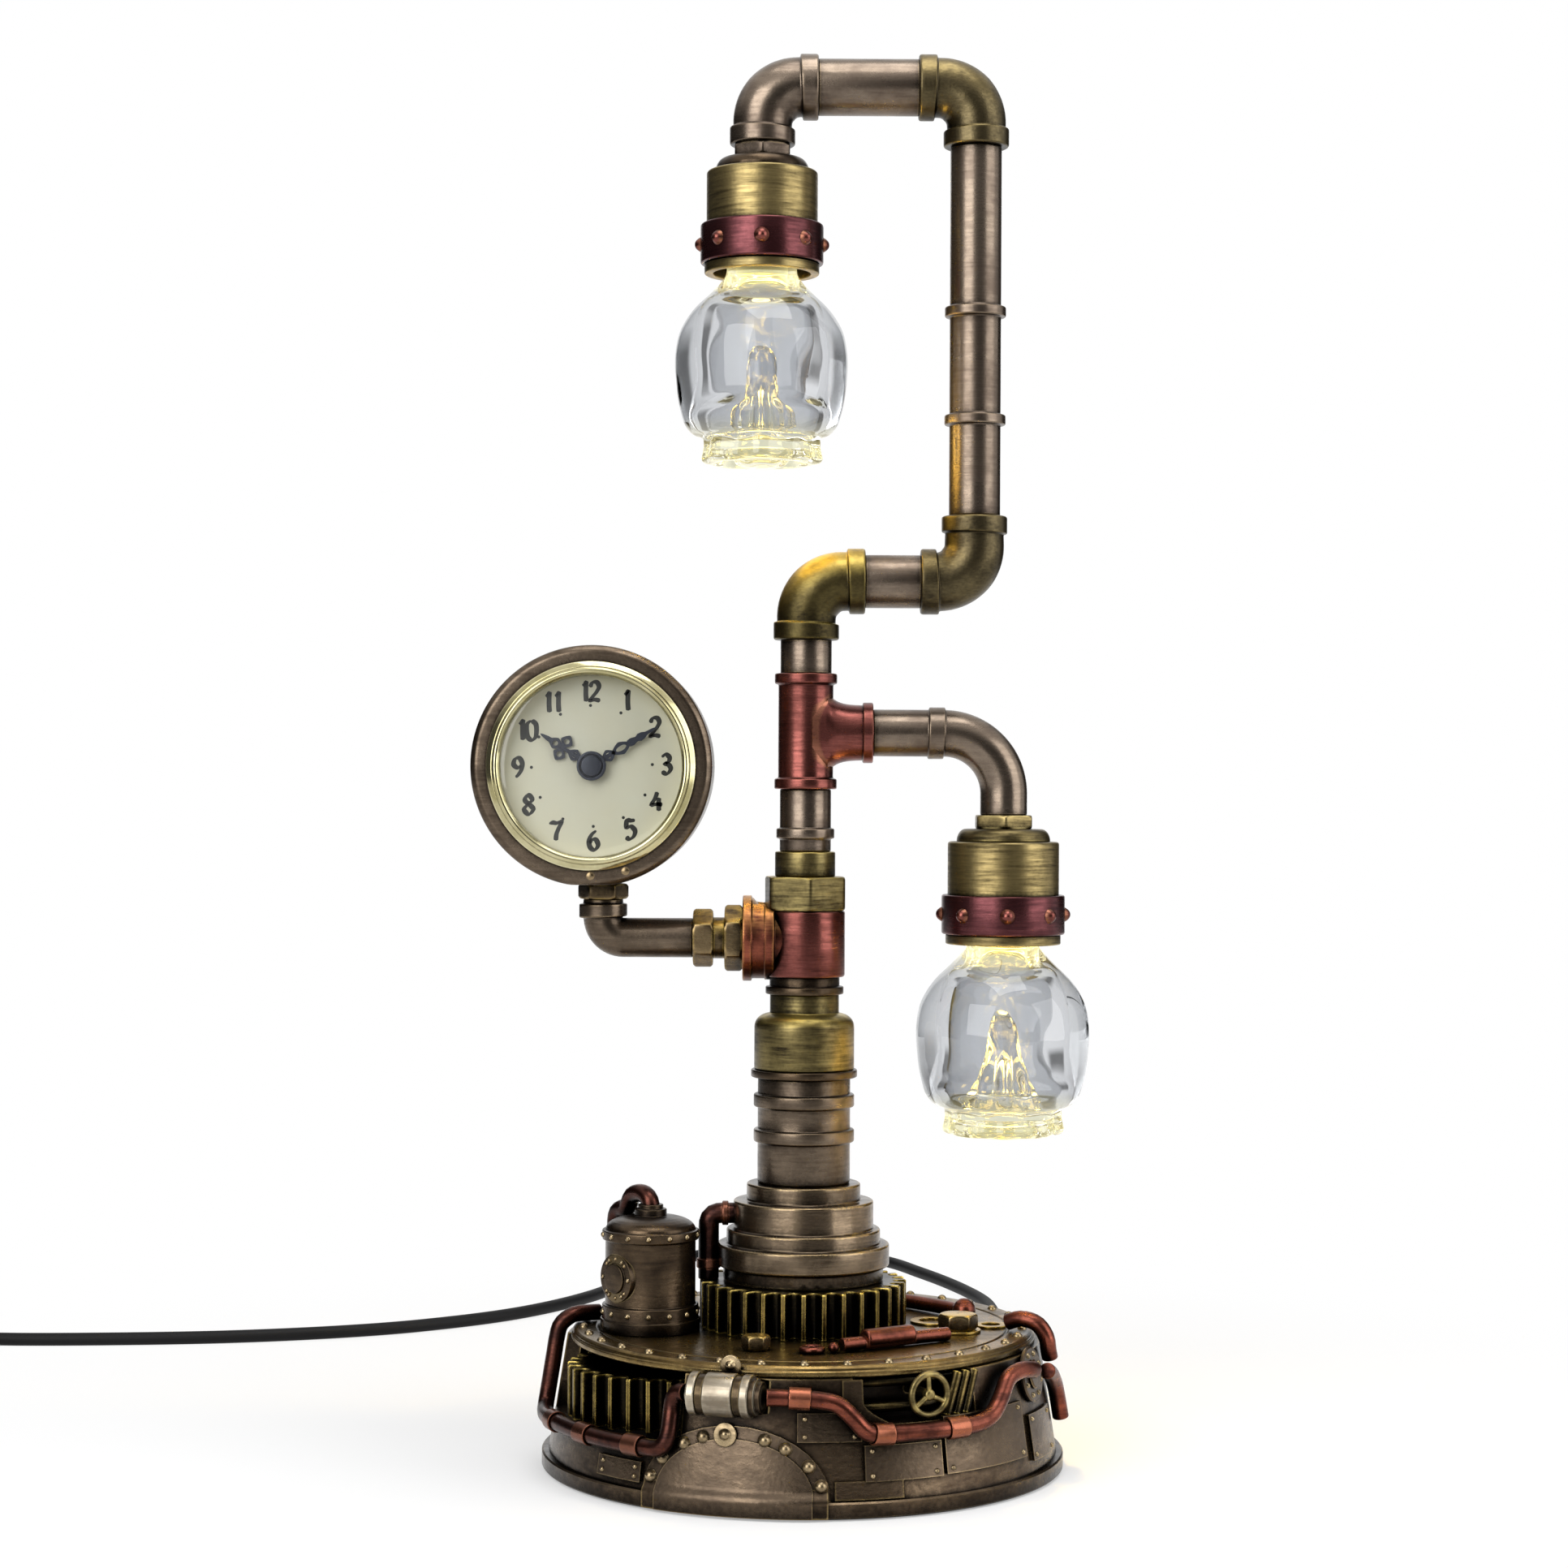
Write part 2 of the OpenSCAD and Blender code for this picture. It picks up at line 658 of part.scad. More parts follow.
module base_drum() {
  color(bronze)
    difference() {
      union() {
        rotate_extrude()
          polygon([[drum_bottom_r - drum_wall, foot_lift], [foot_r - edge, foot_lift], [foot_r, foot_lift + edge],
            [foot_r, foot_top - edge], [foot_r - edge, foot_top], [drum_bottom_r, foot_top],
            [drum_top_r, drum_top], [drum_top_r - drum_wall, drum_top], [drum_bottom_r - drum_wall, foot_top]]);
        at_screws()
          translate([0, 0, cover_top])
            cylinder(r = boss_r, h = boss_h);
        sector(pocket_r - pocket_wall, drum_r(drum_top) - 1, pocket_z - pocket_wall, drum_top - 0.8,
          [pocket_az[0] - 3, pocket_az[1] + 3]);
      }
      sector(drum_bottom_r - drum_wall - 20, foot_r + 5, window_z, drum_top + 1, window_az);
      sector(pocket_r, foot_r + 5, pocket_z, drum_top + 1, pocket_az);
      at_screws()
        translate([0, 0, cover_top - 1])
          cylinder(r = screw_r + slip, h = boss_h);
      rotate([0, 0, wheel_az])
        translate([0, -pocket_r - 1, wheel_z])
          rotate([-90, 0, 0])
            cylinder(r = spindle_r + run, h = pocket_wall + 2);
      rotate([0, 0, capsule_az])
        translate([-capsule_l / 2 - air, -capsule_reach, capsule_z])
          rotate([0, 90, 0])
            cylinder(r = capsule_r + air, h = capsule_l + 2 * air);
      translate([gland_x, 60, gland_z])
        rotate([-90, 0, 0])
          cylinder(r = 5, h = 30);
    }
}

module top_plate() {
  groove_r = rim_circle_r - 5;
  color(bronze)
    turned([[plate_r - edge, drum_top], [plate_r, drum_top + edge], [plate_r, plate_top - edge],
      [plate_r - edge, plate_top], [groove_r + 1, plate_top], [groove_r + 0.5, plate_top - 0.5],
      [groove_r, plate_top]], tie_r + slip);
}

module plate_rivets() {
  tank_rivets = 14;
  color(brass) {
    for (i = [0:rim_rivets - 1])
      rotate([0, 0, (i + 0.5) * 360 / rim_rivets])
        translate([rim_circle_r, 0, plate_top])
          dome(rivet_r, 1.2);
    for (a = [-76, -57, -36, -21, 21, 36, 57, 76])
      at_wall(arch_az + asin((arch_half_w - 2) * sin(a) / drum_r(foot_top)),
        foot_top + (arch_h - 2.6) * cos(a), patch_t + rivet_gap)
        dome(rivet_r, 1.1);
    for (p = patches)
      for (a = [p[0][0] + 1.6, p[0][1] - 1.6])
        for (z = [wall_z(p[1][0]) + 1.6, wall_z(p[1][1]) - 1.6])
          at_wall(a, z, patch_t + rivet_gap)
            dome(small_rivet_r, 0.6);
    for (i = [0:7])
      at_wall(port_disc_az, port_disc_z, seat_gap)
        rotate([0, 0, i * 45 + 22.5])
          translate([port_disc_r - 2, 0, port_disc_t])
            dome(0.9, 0.7);
    translate([tank_x, tank_y, plate_top])
      for (i = [0:tank_rivets - 1])
        rotate([0, 0, (i + 0.5) * 360 / tank_rivets])
          for (level = [6, tank_h - 1.4])
            translate([tank_r + 1, 0, level])
              rotate([0, 90, 0])
                dome(0.9, 0.7);
    porthole()
      for (i = [0:5])
        rotate([0, 0, i * 60])
          translate([6.1, 0, 1.2])
            dome(0.8, 0.7);
  }
}

module base_gear() {
  color(dark_gold)
    translate([base_gear_x, base_gear_y, base_gear_z])
      gear(base_gear_h, gear_post_r + slip);
}

patches = [[[-1.5, 12.5], [22.6, 31]], [[13, 31], [11, 21.4]], [[32, 58], [11.3, 28]], [[-50, -37], [7.5, 13.5]],
  [[61, 75], [9, 23]]];
port_disc_t = 1.6;

module drum_plates() {
  color(bronze) {
    intersection() {
      rotate([0, 0, arch_az])
        translate([0, 0, foot_top])
          rotate([90, 0, 0])
            linear_extrude(foot_r + 10)
              polygon([for (a = [0:10:180]) [arch_half_w * cos(a), arch_h * sin(a)]]);
      wall_patch([arch_az - 40, arch_az + 40], [foot_top + seat_gap, foot_top + arch_h + 2], patch_t);
    }
    for (p = patches)
      wall_patch(p[0], [wall_z(p[1][0]), wall_z(p[1][1])], patch_t);
    at_wall(port_disc_az, port_disc_z, seat_gap)
      turned(concat(disc(port_disc_r, 0, port_disc_t), disc(port_disc_r - 4, port_disc_t, 1)), 0);
  }
}

module front_capsule() {
  half = capsule_l / 2;
  steps = [[3.6, 1.2], [capsule_r, 2.6], [capsule_r - 0.9, 2.4], [capsule_r, capsule_l - 14.4],
    [capsule_r - 0.9, 2.4], [capsule_r, 2.6], [capsule_r - 1, 1.6], [capsule_r - 2, 1.6]];
  starts = [for (i = 0, x = -half; i < len(steps); x = x + steps[i][1], i = i + 1) x];
  color([0.6, 0.57, 0.5]) {
    rotate([0, 0, capsule_az])
      translate([0, -capsule_reach, capsule_z])
        rotate([0, 90, 0])
          turned([for (i = [0:len(steps) - 1]) each disc(steps[i][0], starts[i], steps[i][1], 0.3)], 0);
    at_wall(capsule_az, capsule_z - 11.8, patch_t + 0.1) {
      turned(disc(3.6, 0, 1, 0.3), 0);
      translate([0, 0, 1])
        dome(1.7, 1.3);
    }
    rotate([0, 0, capsule_az])
      translate([0, -plate_r - 0.05, plate_top - 0.2])
        rotate([90, 0, 0]) {
          turned(disc(3.2, 0, 1.2, 0.3), 0);
          translate([0, 0, 1.2])
            dome(1.6, 1.2);
        }
  }
}

// Routes of the drum's pipes as [azimuth, height, distance from the wall]
left_pipe = [[-25.9, 36, 4.7], [-28, 35.7, 4], [-29.2, 33.2, 3.4], [-29.4, 29, 3.4], [-29.4, 24, 3.9],
  [-30, 20.6, 4.3], [-32, 18.9, 4.3], [-38, 18.7, 3.6], [-46, 18.6, 3.4], [-54, 18.6, 3.4], [-62, 18.6, 3.4],
  [-70, 18.4, 3.4], [-78, 17.8, 3.3], [-84, 17.6, 3.1], [-87.4, 18.6, 3.1], [-88.6, 21.5, 3.1], [-89, 28, 3.1],
  [-89.4, 35, 3.1], [-89.8, 41, 3.1], [-90, 45.8, 2.4], [-90.6, 48.2, -1], [-92, 48.2, -5], [-94, 46.7, -9]];
right_pipe = [[-8.1, 36, 4.7], [-5, 35.9, 3.9], [-1, 35.7, 3.6], [3.4, 35.2, 3.6], [7, 34, 4], [10, 30.4, 4.4],
  [13, 26, 4.4], [16.6, 25, 3.6], [24.5, 25, 3.8], [33.5, 25.2, 4.8], [40, 25.6, 4.7], [44, 27.4, 4.5],
  [47.5, 31.5, 4.2], [51, 36.2, 3.8], [55, 37.9, 4.4], [58, 37.8, 5.2], [61, 37, 5.2]];
side_pipe = [[73.6, 33.6, 3.1], [77.4, 31.6, 3.1], [81.5, 27.5, 3.1], [84, 22, 3.1], [85, 16, 3.1]];
drop_pipe = [[81, 46.7, -9], [79.6, 48.2, -4], [78.8, 47, 0.8], [78.8, 43, 3.1], [79.2, 39, 3.1], [79.8, 36, 3.1]];
function wall_route(p) = [for (q = p) wall_point(q[0], wall_z(q[1]), q[2])];
module drum_pipes() {
  color(copper)
    for (p = [left_pipe, right_pipe, side_pipe, drop_pipe])
      tube(smooth(wall_route(p), 2), drum_pipe_r, 10, "out");
}

// Couplings sit where the routes run straight: [route, place in it]
module pipe_couplings() {
  half = 3.2;
  color(copper)
    for (c = [[left_pipe, 7], [left_pipe, 9], [left_pipe, 11], [right_pipe, 2], [right_pipe, 7], [right_pipe, 9]]) {
      p = wall_route(c[0]);
      t = heading(p, c[1]);
      translate(p[c[1]])
        rotate([0, acos(t[2]), atan2(t[1], t[0])])
          translate([0, 0, -half])
            turned(disc(drum_pipe_r + 0.7, 0, 2 * half, 0.2), drum_pipe_r + 0.25);
    }
}

module handwheel() {
  wire_r = 0.8;
  hub_w = 1.7;
  out = drum_r(wheel_z) + 3.2;
  color(brass)
    rotate([0, 0, wheel_az])
      translate([0, 0, wheel_z])
        rotate([90, 0, 0]) {
          translate([0, 0, out])
            rotate_extrude()
              translate([wheel_r - wire_r, 0])
                circle(r = wire_r);
          for (a = [95, 215, 335])
            rotate([0, 0, a])
              translate([0, 0, out])
                rotate([0, 90, 0])
                  cylinder(r = 0.65, h = wheel_r - wire_r);
          translate([0, 0, out - 1])
            cylinder(r = hub_w, h = 2.2);
          translate([0, 0, pocket_r - 8.5])
            cylinder(r = spindle_r, h = out - pocket_r + 8.5);
        }
}

module rotary_switch() {
  w = 14;
  d = 12;
  front = pocket_r - pocket_wall - 0.5;
  color([0.15, 0.15, 0.16])
    rotate([0, 0, wheel_az])
      translate([0, -front, wheel_z])
        difference() {
          translate([-w / 2, 0, -w / 2])
            cube([w, d, w - 3]);
          translate([0, -1, 0])
            rotate([-90, 0, 0])
              cylinder(r = spindle_r + run, h = 6);
        }
}

module led_driver() {
  color([0.18, 0.18, 0.2])
    translate([-8, driver_y, cover_top])
      cube([48, driver_d, 24]);
}

module column_gear() {
  color(dark_gold)
    translate([0, 0, plate_top])
      gear(column_gear_h, tie_r + slip);
}

module pedestal() {
  rings = [[neck_ring_r, neck_ring_h], [wide_ring_r, wide_ring_h], [third_ring_r, third_ring_h],
    [tall_ring_r, tall_ring_h], [top_ring_r, top_ring_h]];
  levels = [for (i = 0, z = gear_top; i < len(rings); z = z + rings[i][1], i = i + 1) z];
  color(bronze)
    turned([for (i = [0:len(rings) - 1]) each disc(rings[i][0], levels[i], rings[i][1], 0.8)], tie_r + slip);
}

module tie_rod() {
  nut_h = 5;
  color("silver") {
    difference() {
      translate([0, 0, drum_top - nut_h - 2])
        cylinder(r = tie_r, h = column_pipe_top + 8 - drum_top + nut_h + 2);
      translate([0, 0, drum_top - nut_h - 3])
        cylinder(r = tie_bore_r, h = column_pipe_top + 20 - drum_top + nut_h);
    }
    translate([0, 0, drum_top - nut_h])
      hexagon(9, nut_h, tie_r + slip);
  }
}

module lower_pipe() {
  low = pedestal_top + 13.2;
  high = pedestal_top + 24.4;
  color(bronze)
    turned(concat([[lower_pipe_r, pedestal_top], [lower_pipe_r, low]], disc(lower_collar_r, low, lower_collar_h),
      [[lower_pipe_r, low + lower_collar_h], [lower_pipe_r, high]], disc(lower_collar_r, high, lower_collar_h),
      [[lower_pipe_r, high + lower_collar_h], [lower_pipe_r, lower_pipe_top]]), tie_r + slip);
}

module bell_coupling() {
  lip_h = 2.5;
  shoulder = lower_pipe_top + bell_body_h;
  arc = [for (a = [0:15:90])
    [bell_neck_r + (bell_r - bell_neck_r) * cos(a), shoulder + bell_shoulder_h * sin(a)]];
  color(brass)
    turned(concat(disc(bell_lip_r, lower_pipe_top, lip_h), [[bell_r, lower_pipe_top + lip_h]], arc,
      [[bell_neck_r, bell_top]]), tie_r + slip);
}

module valve_block() {
  flange_h = 2.4;
  color(copper)
    difference() {
      union() {
        turned(concat(disc(block_foot_r, bell_top, flange_h),
          [[block_foot_r - 1.3, bell_top + flange_h], [block_foot_r - 1.3, block_bottom]],
          disc(block_r, block_bottom, block_h, 1.2)), tie_r + slip);
        along_x(-port_reach, port_axis_z)
          turned(concat(disc(port_r, 0, 2.9), [[port_r - 0.8, 2.9], [port_r - 0.8, 7]],
            disc(port_r - 0.4, 7, 3.1), [[port_r - 3, 10.1], [port_r - 3, port_reach - tie_r - 1]]), bore_r);
      }
      translate([0, 0, bell_top - 1])
        cylinder(r = tie_r + slip, h = block_top - bell_top + 2);
      along_x(-port_reach - 1, port_axis_z)
        cylinder(r = bore_r, h = port_reach);
      translate([0, 0, block_top])
        cylinder(r = hex_r + air, h = hex_h);
    }
}

module hex_reducer() {
  color(brass) {
    translate([0, 0, block_top])
      rotate([0, 0, 30])
        hexagon(hex_r, hex_h, tie_r + slip);
    turned(disc(sleeve_r, hex_top, sleeve_h), tie_r + slip);
  }
}

module column_pipe() {
  low = sleeve_top + 4.2;
  color(bronze)
    turned(concat([[pipe_r, sleeve_top], [pipe_r, low]], disc(collar_r - 0.5, low, collar_h),
      [[pipe_r, low + collar_h], [pipe_r, column_pipe_top]]), tie_r + slip);
}

module tee() {
  flange_h = 3.3;
  color(copper)
    difference() {
      union() {
        turned(concat(disc(tee_flange_r, column_pipe_top, flange_h), [[tee_r, column_pipe_top + flange_h],
          [tee_r, tee_top - flange_h]], disc(tee_flange_r, tee_top - flange_h, flange_h)), tie_r + slip);
        along_x(tie_r + 1, branch_z)
          turned(concat([[tee_r + 1.8, 0], [tee_r + 1.6, 2], [tee_r + 0.5, 5], [tee_r + 0.1, 8],
            [tee_r + 0.1, tee_reach - tie_r - 1 - flange_h]],
            disc(tee_flange_r - 0.3, tee_reach - tie_r - 1 - flange_h, flange_h)), bore_r);
      }
      translate([0, 0, column_pipe_top - 1])
        cylinder(r = tie_r + slip, h = tee_h + 2);
      along_x(0, branch_z)
        cylinder(r = bore_r, h = tee_reach + 1);
    }
}

module pipe_nipples() {
  color(bronze) {
    translate([0, 0, tee_top])
      turned([[pipe_r, 0], [pipe_r, neck_pipe_h]], bore_r);
    along_x(elbow_1_reach, cross_z)
      turned([[pipe_r + 0.3, 0], [pipe_r + 0.3, cross_pipe_l]], bore_r);
    along_x(upper_x + elbow_4_reach, top_z)
      turned([[top_pipe_r, 0], [top_pipe_r, top_pipe_l]], bore_r);
  }
}

// An elbow enters upwards along the Z axis and leaves along +X; its two axes meet at the height rise
module elbow(rise, reach) {
  module outside(r) {
    cylinder(r = r, h = rise - elbow_bend_r);
    translate([elbow_bend_r, 0, rise - elbow_bend_r])
      rotate([90, 0, 0])
        rotate([0, 0, 90])
          quarter(r, elbow_bend_r);
    translate([elbow_bend_r, 0, rise])
      rotate([0, 90, 0])
        cylinder(r = r, h = reach - elbow_bend_r);
  }
  difference() {
    union() {
      outside(elbow_r);
      turned(disc(elbow_flange_r, 0, elbow_flange_h, 0.7), 0);
      translate([reach - elbow_flange_h, 0, rise])
        rotate([0, 90, 0])
          turned(disc(elbow_flange_r, 0, elbow_flange_h, 0.7), 0);
    }
    outside(bore_r);
  }
}
module elbow_1() {
  color(brass)
    translate([0, 0, neck_pipe_top])
      elbow(elbow_1_rise, elbow_1_reach);
}
module elbow_2() {
  color(brass)
    translate([riser_x, 0, riser_bottom])
      rotate([0, 180, 0])
        elbow(elbow_2_rise, elbow_2_reach);
}
module elbow_3() {
  color(brass)
    translate([riser_x, 0, riser_top])
      rotate([0, 0, 180])
        elbow(elbow_3_rise, elbow_3_reach);
}
module elbow_4() {
  color(bronze)
    translate([upper_x, 0, upper_lamp_z])
      elbow(elbow_4_drop, elbow_4_reach);
}

module riser_pipe() {
  low = 29.2;
  high = 63.8;
  color(bronze)
    translate([riser_x, 0, riser_bottom])
      turned(concat([[pipe_r, 0], [pipe_r, low]], disc(collar_r, low, collar_h), [[pipe_r, low + collar_h],
        [pipe_r, high]], disc(collar_r, high, collar_h), [[pipe_r, high + collar_h], [pipe_r, riser_h]]), bore_r);
}

module branch_pipe() {
  module run_of(r) {
    along_x(tee_reach, branch_z)
      cylinder(r = r, h = branch_run);
    translate([lower_x - branch_bend_r, 0, branch_z - branch_bend_r])
      rotate([90, 0, 0])
        quarter(r, branch_bend_r);
    translate([lower_x, 0, lower_lamp_z])
      cylinder(r = r, h = branch_drop);
  }
  color(bronze)
    difference() {
      union() {
        run_of(branch_r);
        along_x(tee_reach + branch_run - branch_collar_l, branch_z)
          turned(disc(branch_collar_r, 0, branch_collar_l, 0.4), 0);
      }
      run_of(bore_r);
    }
}

module lamp_nuts() {
  color(brass)
    at_lamps()
      translate([0, 0, -lamp_nut_h])
        rotate([0, 0, 30])
          hexagon(lamp_nut_r, lamp_nut_h, bore_r);
}

module lamp_sockets() {
  color(brass) at_lamps() difference() {
    turned(concat([[rim_r, rim_z], [rim_r, band_bottom_z - slip], [socket_r, band_bottom_z - slip],
      [socket_r, dome_z - edge], [socket_r - edge, dome_z]],
      [for (a = [0:15:75]) [socket_r - 5.8 + 3 * cos(a), dome_z + socket_dome_h * sin(a)]],
      [[socket_r - 5.8, -lamp_nut_h]]), 0);
    translate([0, 0, rim_z - 1])
      cylinder(r = socket_bore_r, h = led_z - rim_z + 1);
    translate([0, 0, led_z - 1])
      cylinder(r = bore_r, h = 20);
  }
}

module socket_bands() {
  color(copper)
    at_lamps()
      translate([0, 0, band_bottom_z])
        turned(disc(band_r, 0, band_h), socket_r + slip);
}

module band_rivet_set() {
  color(copper)
    at_lamps()
      for (i = [0:band_rivets - 1])
        rotate([0, 0, i * 360 / band_rivets])
          translate([band_r, 0, (band_top_z + band_bottom_z) / 2])
            rotate([0, 90, 0])
              dome(band_rivet_r, 1.9);
}

module led_modules() {
  color(white)
    at_lamps() {
      translate([0, 0, led_z - led_t])
        cylinder(r = socket_bore_r - 3, h = led_t);
      translate([0, 0, led_z - led_t])
        mirror([0, 0, 1])
          dome(5, 2.5);
    }
}

module shade_grommets() {
  color(black)
    at_lamps()
      translate([0, 0, grommet_z])
        turned(disc(socket_bore_r - slip, 0, grommet_h, 0.4), shade_neck_r + slip);
}

// Shade: the crown swells from the neck and closes in to the skirt; a spire stands in the narrow hollow
function shade_out(d) = let (crown = 22, shoulder = 28, full = shade_h - skirt_h)
  d <= crown ? shade_neck_r + (shade_r - shade_neck_r) * sin(90 * d / crown)
  : d <= shoulder ? shade_r
  : skirt_r + (shade_r - skirt_r) * cos(90 * pow((d - shoulder) / (full - shoulder), 1.5));
function spire(h) = 1.8 + (spire_r - 1.8) * pow(1 - h / spire_h, 1.6);
module shade() {
  floor_z = shade_floor - shade_h;
  outside = concat([[shade_neck_r, shade_neck_h]], [for (d = [0:3:shade_h - skirt_h]) [shade_out(d), -d]],
    [[skirt_r, -(shade_h - skirt_h)], [skirt_r + 0.3, -shade_h], [0, -shade_h]]);
  tip = [[0, floor_z + spire_h + 1.4], [1.2, floor_z + spire_h + 1]];
  cone = [for (h = [spire_h:-3:2]) [spire(h), floor_z + h]];
  hollow = [[spire_r + 0.6, floor_z + 0.4], [hollow_r - 2, floor_z], [hollow_r, floor_z + 2.5],
    [hollow_r - 0.5, -26], [hollow_r, -14], [neck_hollow_r, -3], [neck_hollow_r, shade_neck_h]];
  rotate_extrude()
    polygon(concat(outside, tip, cone, hollow));
}
module upper_shade() { color(clear_glass) at_lamps(lower = false) translate([0, 0, rim_z]) shade(); }
module lower_shade() { color(clear_glass) at_lamps(upper = false) translate([0, 0, rim_z]) shade(); }

module clock_case() {
  color(bronze)
    difference() {
      translate([clock_x, -case_front, clock_z])
        rotate([90, 0, 0])
          difference() {
            turned(disc(case_r, -case_d, case_d, 1.5), 0);
            translate([0, 0, case_back_t - case_d])
              cylinder(r = insert_r + air, h = case_d);
          }
      translate([clock_x - case_r, -case_front - 1, stem_top + stem_nut_h - case_r])
        cube([2 * case_r, case_d + 2, case_r]);
    }
}

module clock_stem() {
  module run_of(r) {
    along_x(stem_x + stem_bend_r, port_axis_z)
      cylinder(r = r, h = stem_run);
    translate([stem_x + stem_bend_r, 0, port_axis_z + stem_bend_r])
      rotate([90, 0, 0])
        rotate([0, 0, 180])
          quarter(r, stem_bend_r);
  }
  color(bronze)
    difference() {
      union() {
        run_of(stem_r);
        translate([stem_x, 0, port_axis_z + stem_bend_r])
          turned(concat(disc(stem_r + 1.4, 0, stem_flange_h, 0.4),
            [[stem_r + 0.1, stem_flange_h], [stem_r + 0.1, stem_flange_h + stem_neck_h]]), 0);
      }
      run_of(tie_bore_r);
      translate([stem_x, 0, port_axis_z + stem_bend_r])
        cylinder(r = tie_bore_r, h = stem_flange_h + stem_neck_h + 1);
    }
}

module clock_nuts() {
  color(brass) {
    translate([stem_x, 0, stem_top])
      hexagon(stem_nut_r, stem_nut_h, tie_bore_r);
    along_x(-port_reach - 5.8, port_axis_z)
      hexagon(union_nut_r, 5.8, tie_bore_r);
    along_x(-port_reach - 9.4, port_axis_z)
      turned([[stem_r + 0.3, 0], [stem_r + 0.3, 3.6]], tie_bore_r);
    along_x(-port_reach - 15.9, port_axis_z)
      hexagon(outer_nut_r, 6.5, tie_bore_r);
  }
}

module insert_cup() {
  color([0.12, 0.12, 0.13])
    at_clock()
      difference() {
        translate([0, 0, -insert_d])
          cylinder(r = insert_r, h = insert_d);
        translate([0, 0, cup_floor - insert_d])
          cylinder(r = dial_r + 0.7, h = insert_d);
        translate([knob_place[0], knob_place[1], -insert_d - 1])
          cylinder(r = 1.2 + run, h = cup_floor + 2);
      }
}

module movement() {
  color([0.16, 0.16, 0.17])
    at_clock()
      difference() {
        translate([-movement_half, -movement_half, cup_floor - insert_d])
          cube([2 * movement_half, 2 * movement_half, movement_front - cup_floor + insert_d]);
        translate([0, 0, movement_front - 2])
          cylinder(r = hour_tube_r + run, h = 3);
        translate([0, 0, movement_front - 3.5])
          cylinder(r = arbor_r + run, h = 5);
        translate([knob_place[0], knob_place[1], -insert_d])
          cylinder(r = 1.2 + run, h = cup_floor + 3);
        translate([-10, 8, -insert_d])
          cylinder(r = 6, h = cup_floor + 5.2);
      }
}

module battery() {
  color("silver")
    at_clock()
      translate([-10, 8, cup_floor - insert_d])
        cylinder(r = 5.8, h = 5.1);
}

module dial() {
  color(cream)
    at_clock()
      difference() {
        translate([0, 0, movement_front])
          cylinder(r = dial_r + 0.5, h = 0.6);
        translate([0, 0, movement_front - 1])
          cylinder(r = hour_tube_r + air, h = 3);
      }
}

module bezel() {
  seat = 0.05;
  color([0.85, 0.78, 0.45])
    at_clock()
      rotate_extrude()
        polygon([[dial_r, -dial_z], [dial_r + 0.5, -dial_z], [dial_r + 0.5, seat], [bezel_r, seat], [bezel_r, 0.9],
          [bezel_r - 0.5, 1.5], [bezel_r - 1.6, 1.5], [bezel_r - 1.7, bezel_h - 0.5], [bezel_r - 2.3, bezel_h],
          [dial_r + 0.9, bezel_h], [dial_r + 0.4, bezel_h - 0.6], [dial_r, bezel_h - 1]]);
}

module lens() {
  color(clear_glass)
    at_clock()
      cylinder(r = dial_r - 0.05, h = 1.2);
}

module hand_plate(outline, angle, z, holes) {
  at_clock()
    rotate([0, 0, -angle])
      translate([0, 0, z])
        linear_extrude(hand_t)
          difference() {
            union() {
              polygon(outline);
              circle(r = 3.2);
            }
            for (h = holes)
              translate([0, h[0]])
                circle(r = h[1]);
          }
}
function mirrored(side) = concat(side, [for (i = [len(side) - 1:-1:0]) [-side[i][0], side[i][1]]]);

module hour_hand() {
  l = hour_l;
  color(black) {
    difference() {
      hand_plate(mirrored([[1.1, 2.5], [1.5, l * 0.3], [0.9, l * 0.37], [2.9, l * 0.5], [1.4, l * 0.6],
        [1.6, l * 0.66], [0.5, l * 0.8], [0.35, l]]), hour_angle, hour_hand_z,
        [[l * 0.27, 0.75], [l * 0.49, 0.8], [l * 0.68, 0.6]]);
      at_clock()
        translate([0, 0, hour_hand_z - 1])
          cylinder(r = arbor_r + run, h = 4);
    }
    at_clock()
      translate([0, 0, movement_front - 1.8])
        turned([[hour_tube_r, 0], [hour_tube_r, hour_hand_z - movement_front + 1.8]], arbor_r + run);
  }
}

module minute_hand() {
  l = minute_l;
  color(black) {
    hand_plate(mirrored([[0.9, 2.5], [1.6, l * 0.26], [0.7, l * 0.33], [1.7, l * 0.42], [1.2, l * 0.5],
      [0.8, l * 0.7], [1.3, l * 0.78], [0.6, l * 0.85], [0.3, l]]), minute_angle, minute_hand_z,
      [[l * 0.25, 0.8], [l * 0.41, 0.85]]);
    at_clock() {
      translate([0, 0, minute_hand_z])
        turned(concat(disc(hub_r, 0, 1.5, 0.2), disc(hub_r - 1.2, 1.5, 0.7, 0.2)), 0);
      translate([0, 0, movement_front - 3.3])
        cylinder(r = arbor_r, h = minute_hand_z - movement_front + 3.4);
    }
  }
}

module set_knob() {
  color([0.85, 0.83, 0.78])
    at_clock()
      translate([knob_place[0], knob_place[1], -insert_d]) {
        translate([0, 0, -3.3])
          turned(disc(5, 0, 3, 0.4), 0);
        translate([0, 0, -0.4])
          cylinder(r = 1.2, h = cup_floor + 3.2);
      }
}

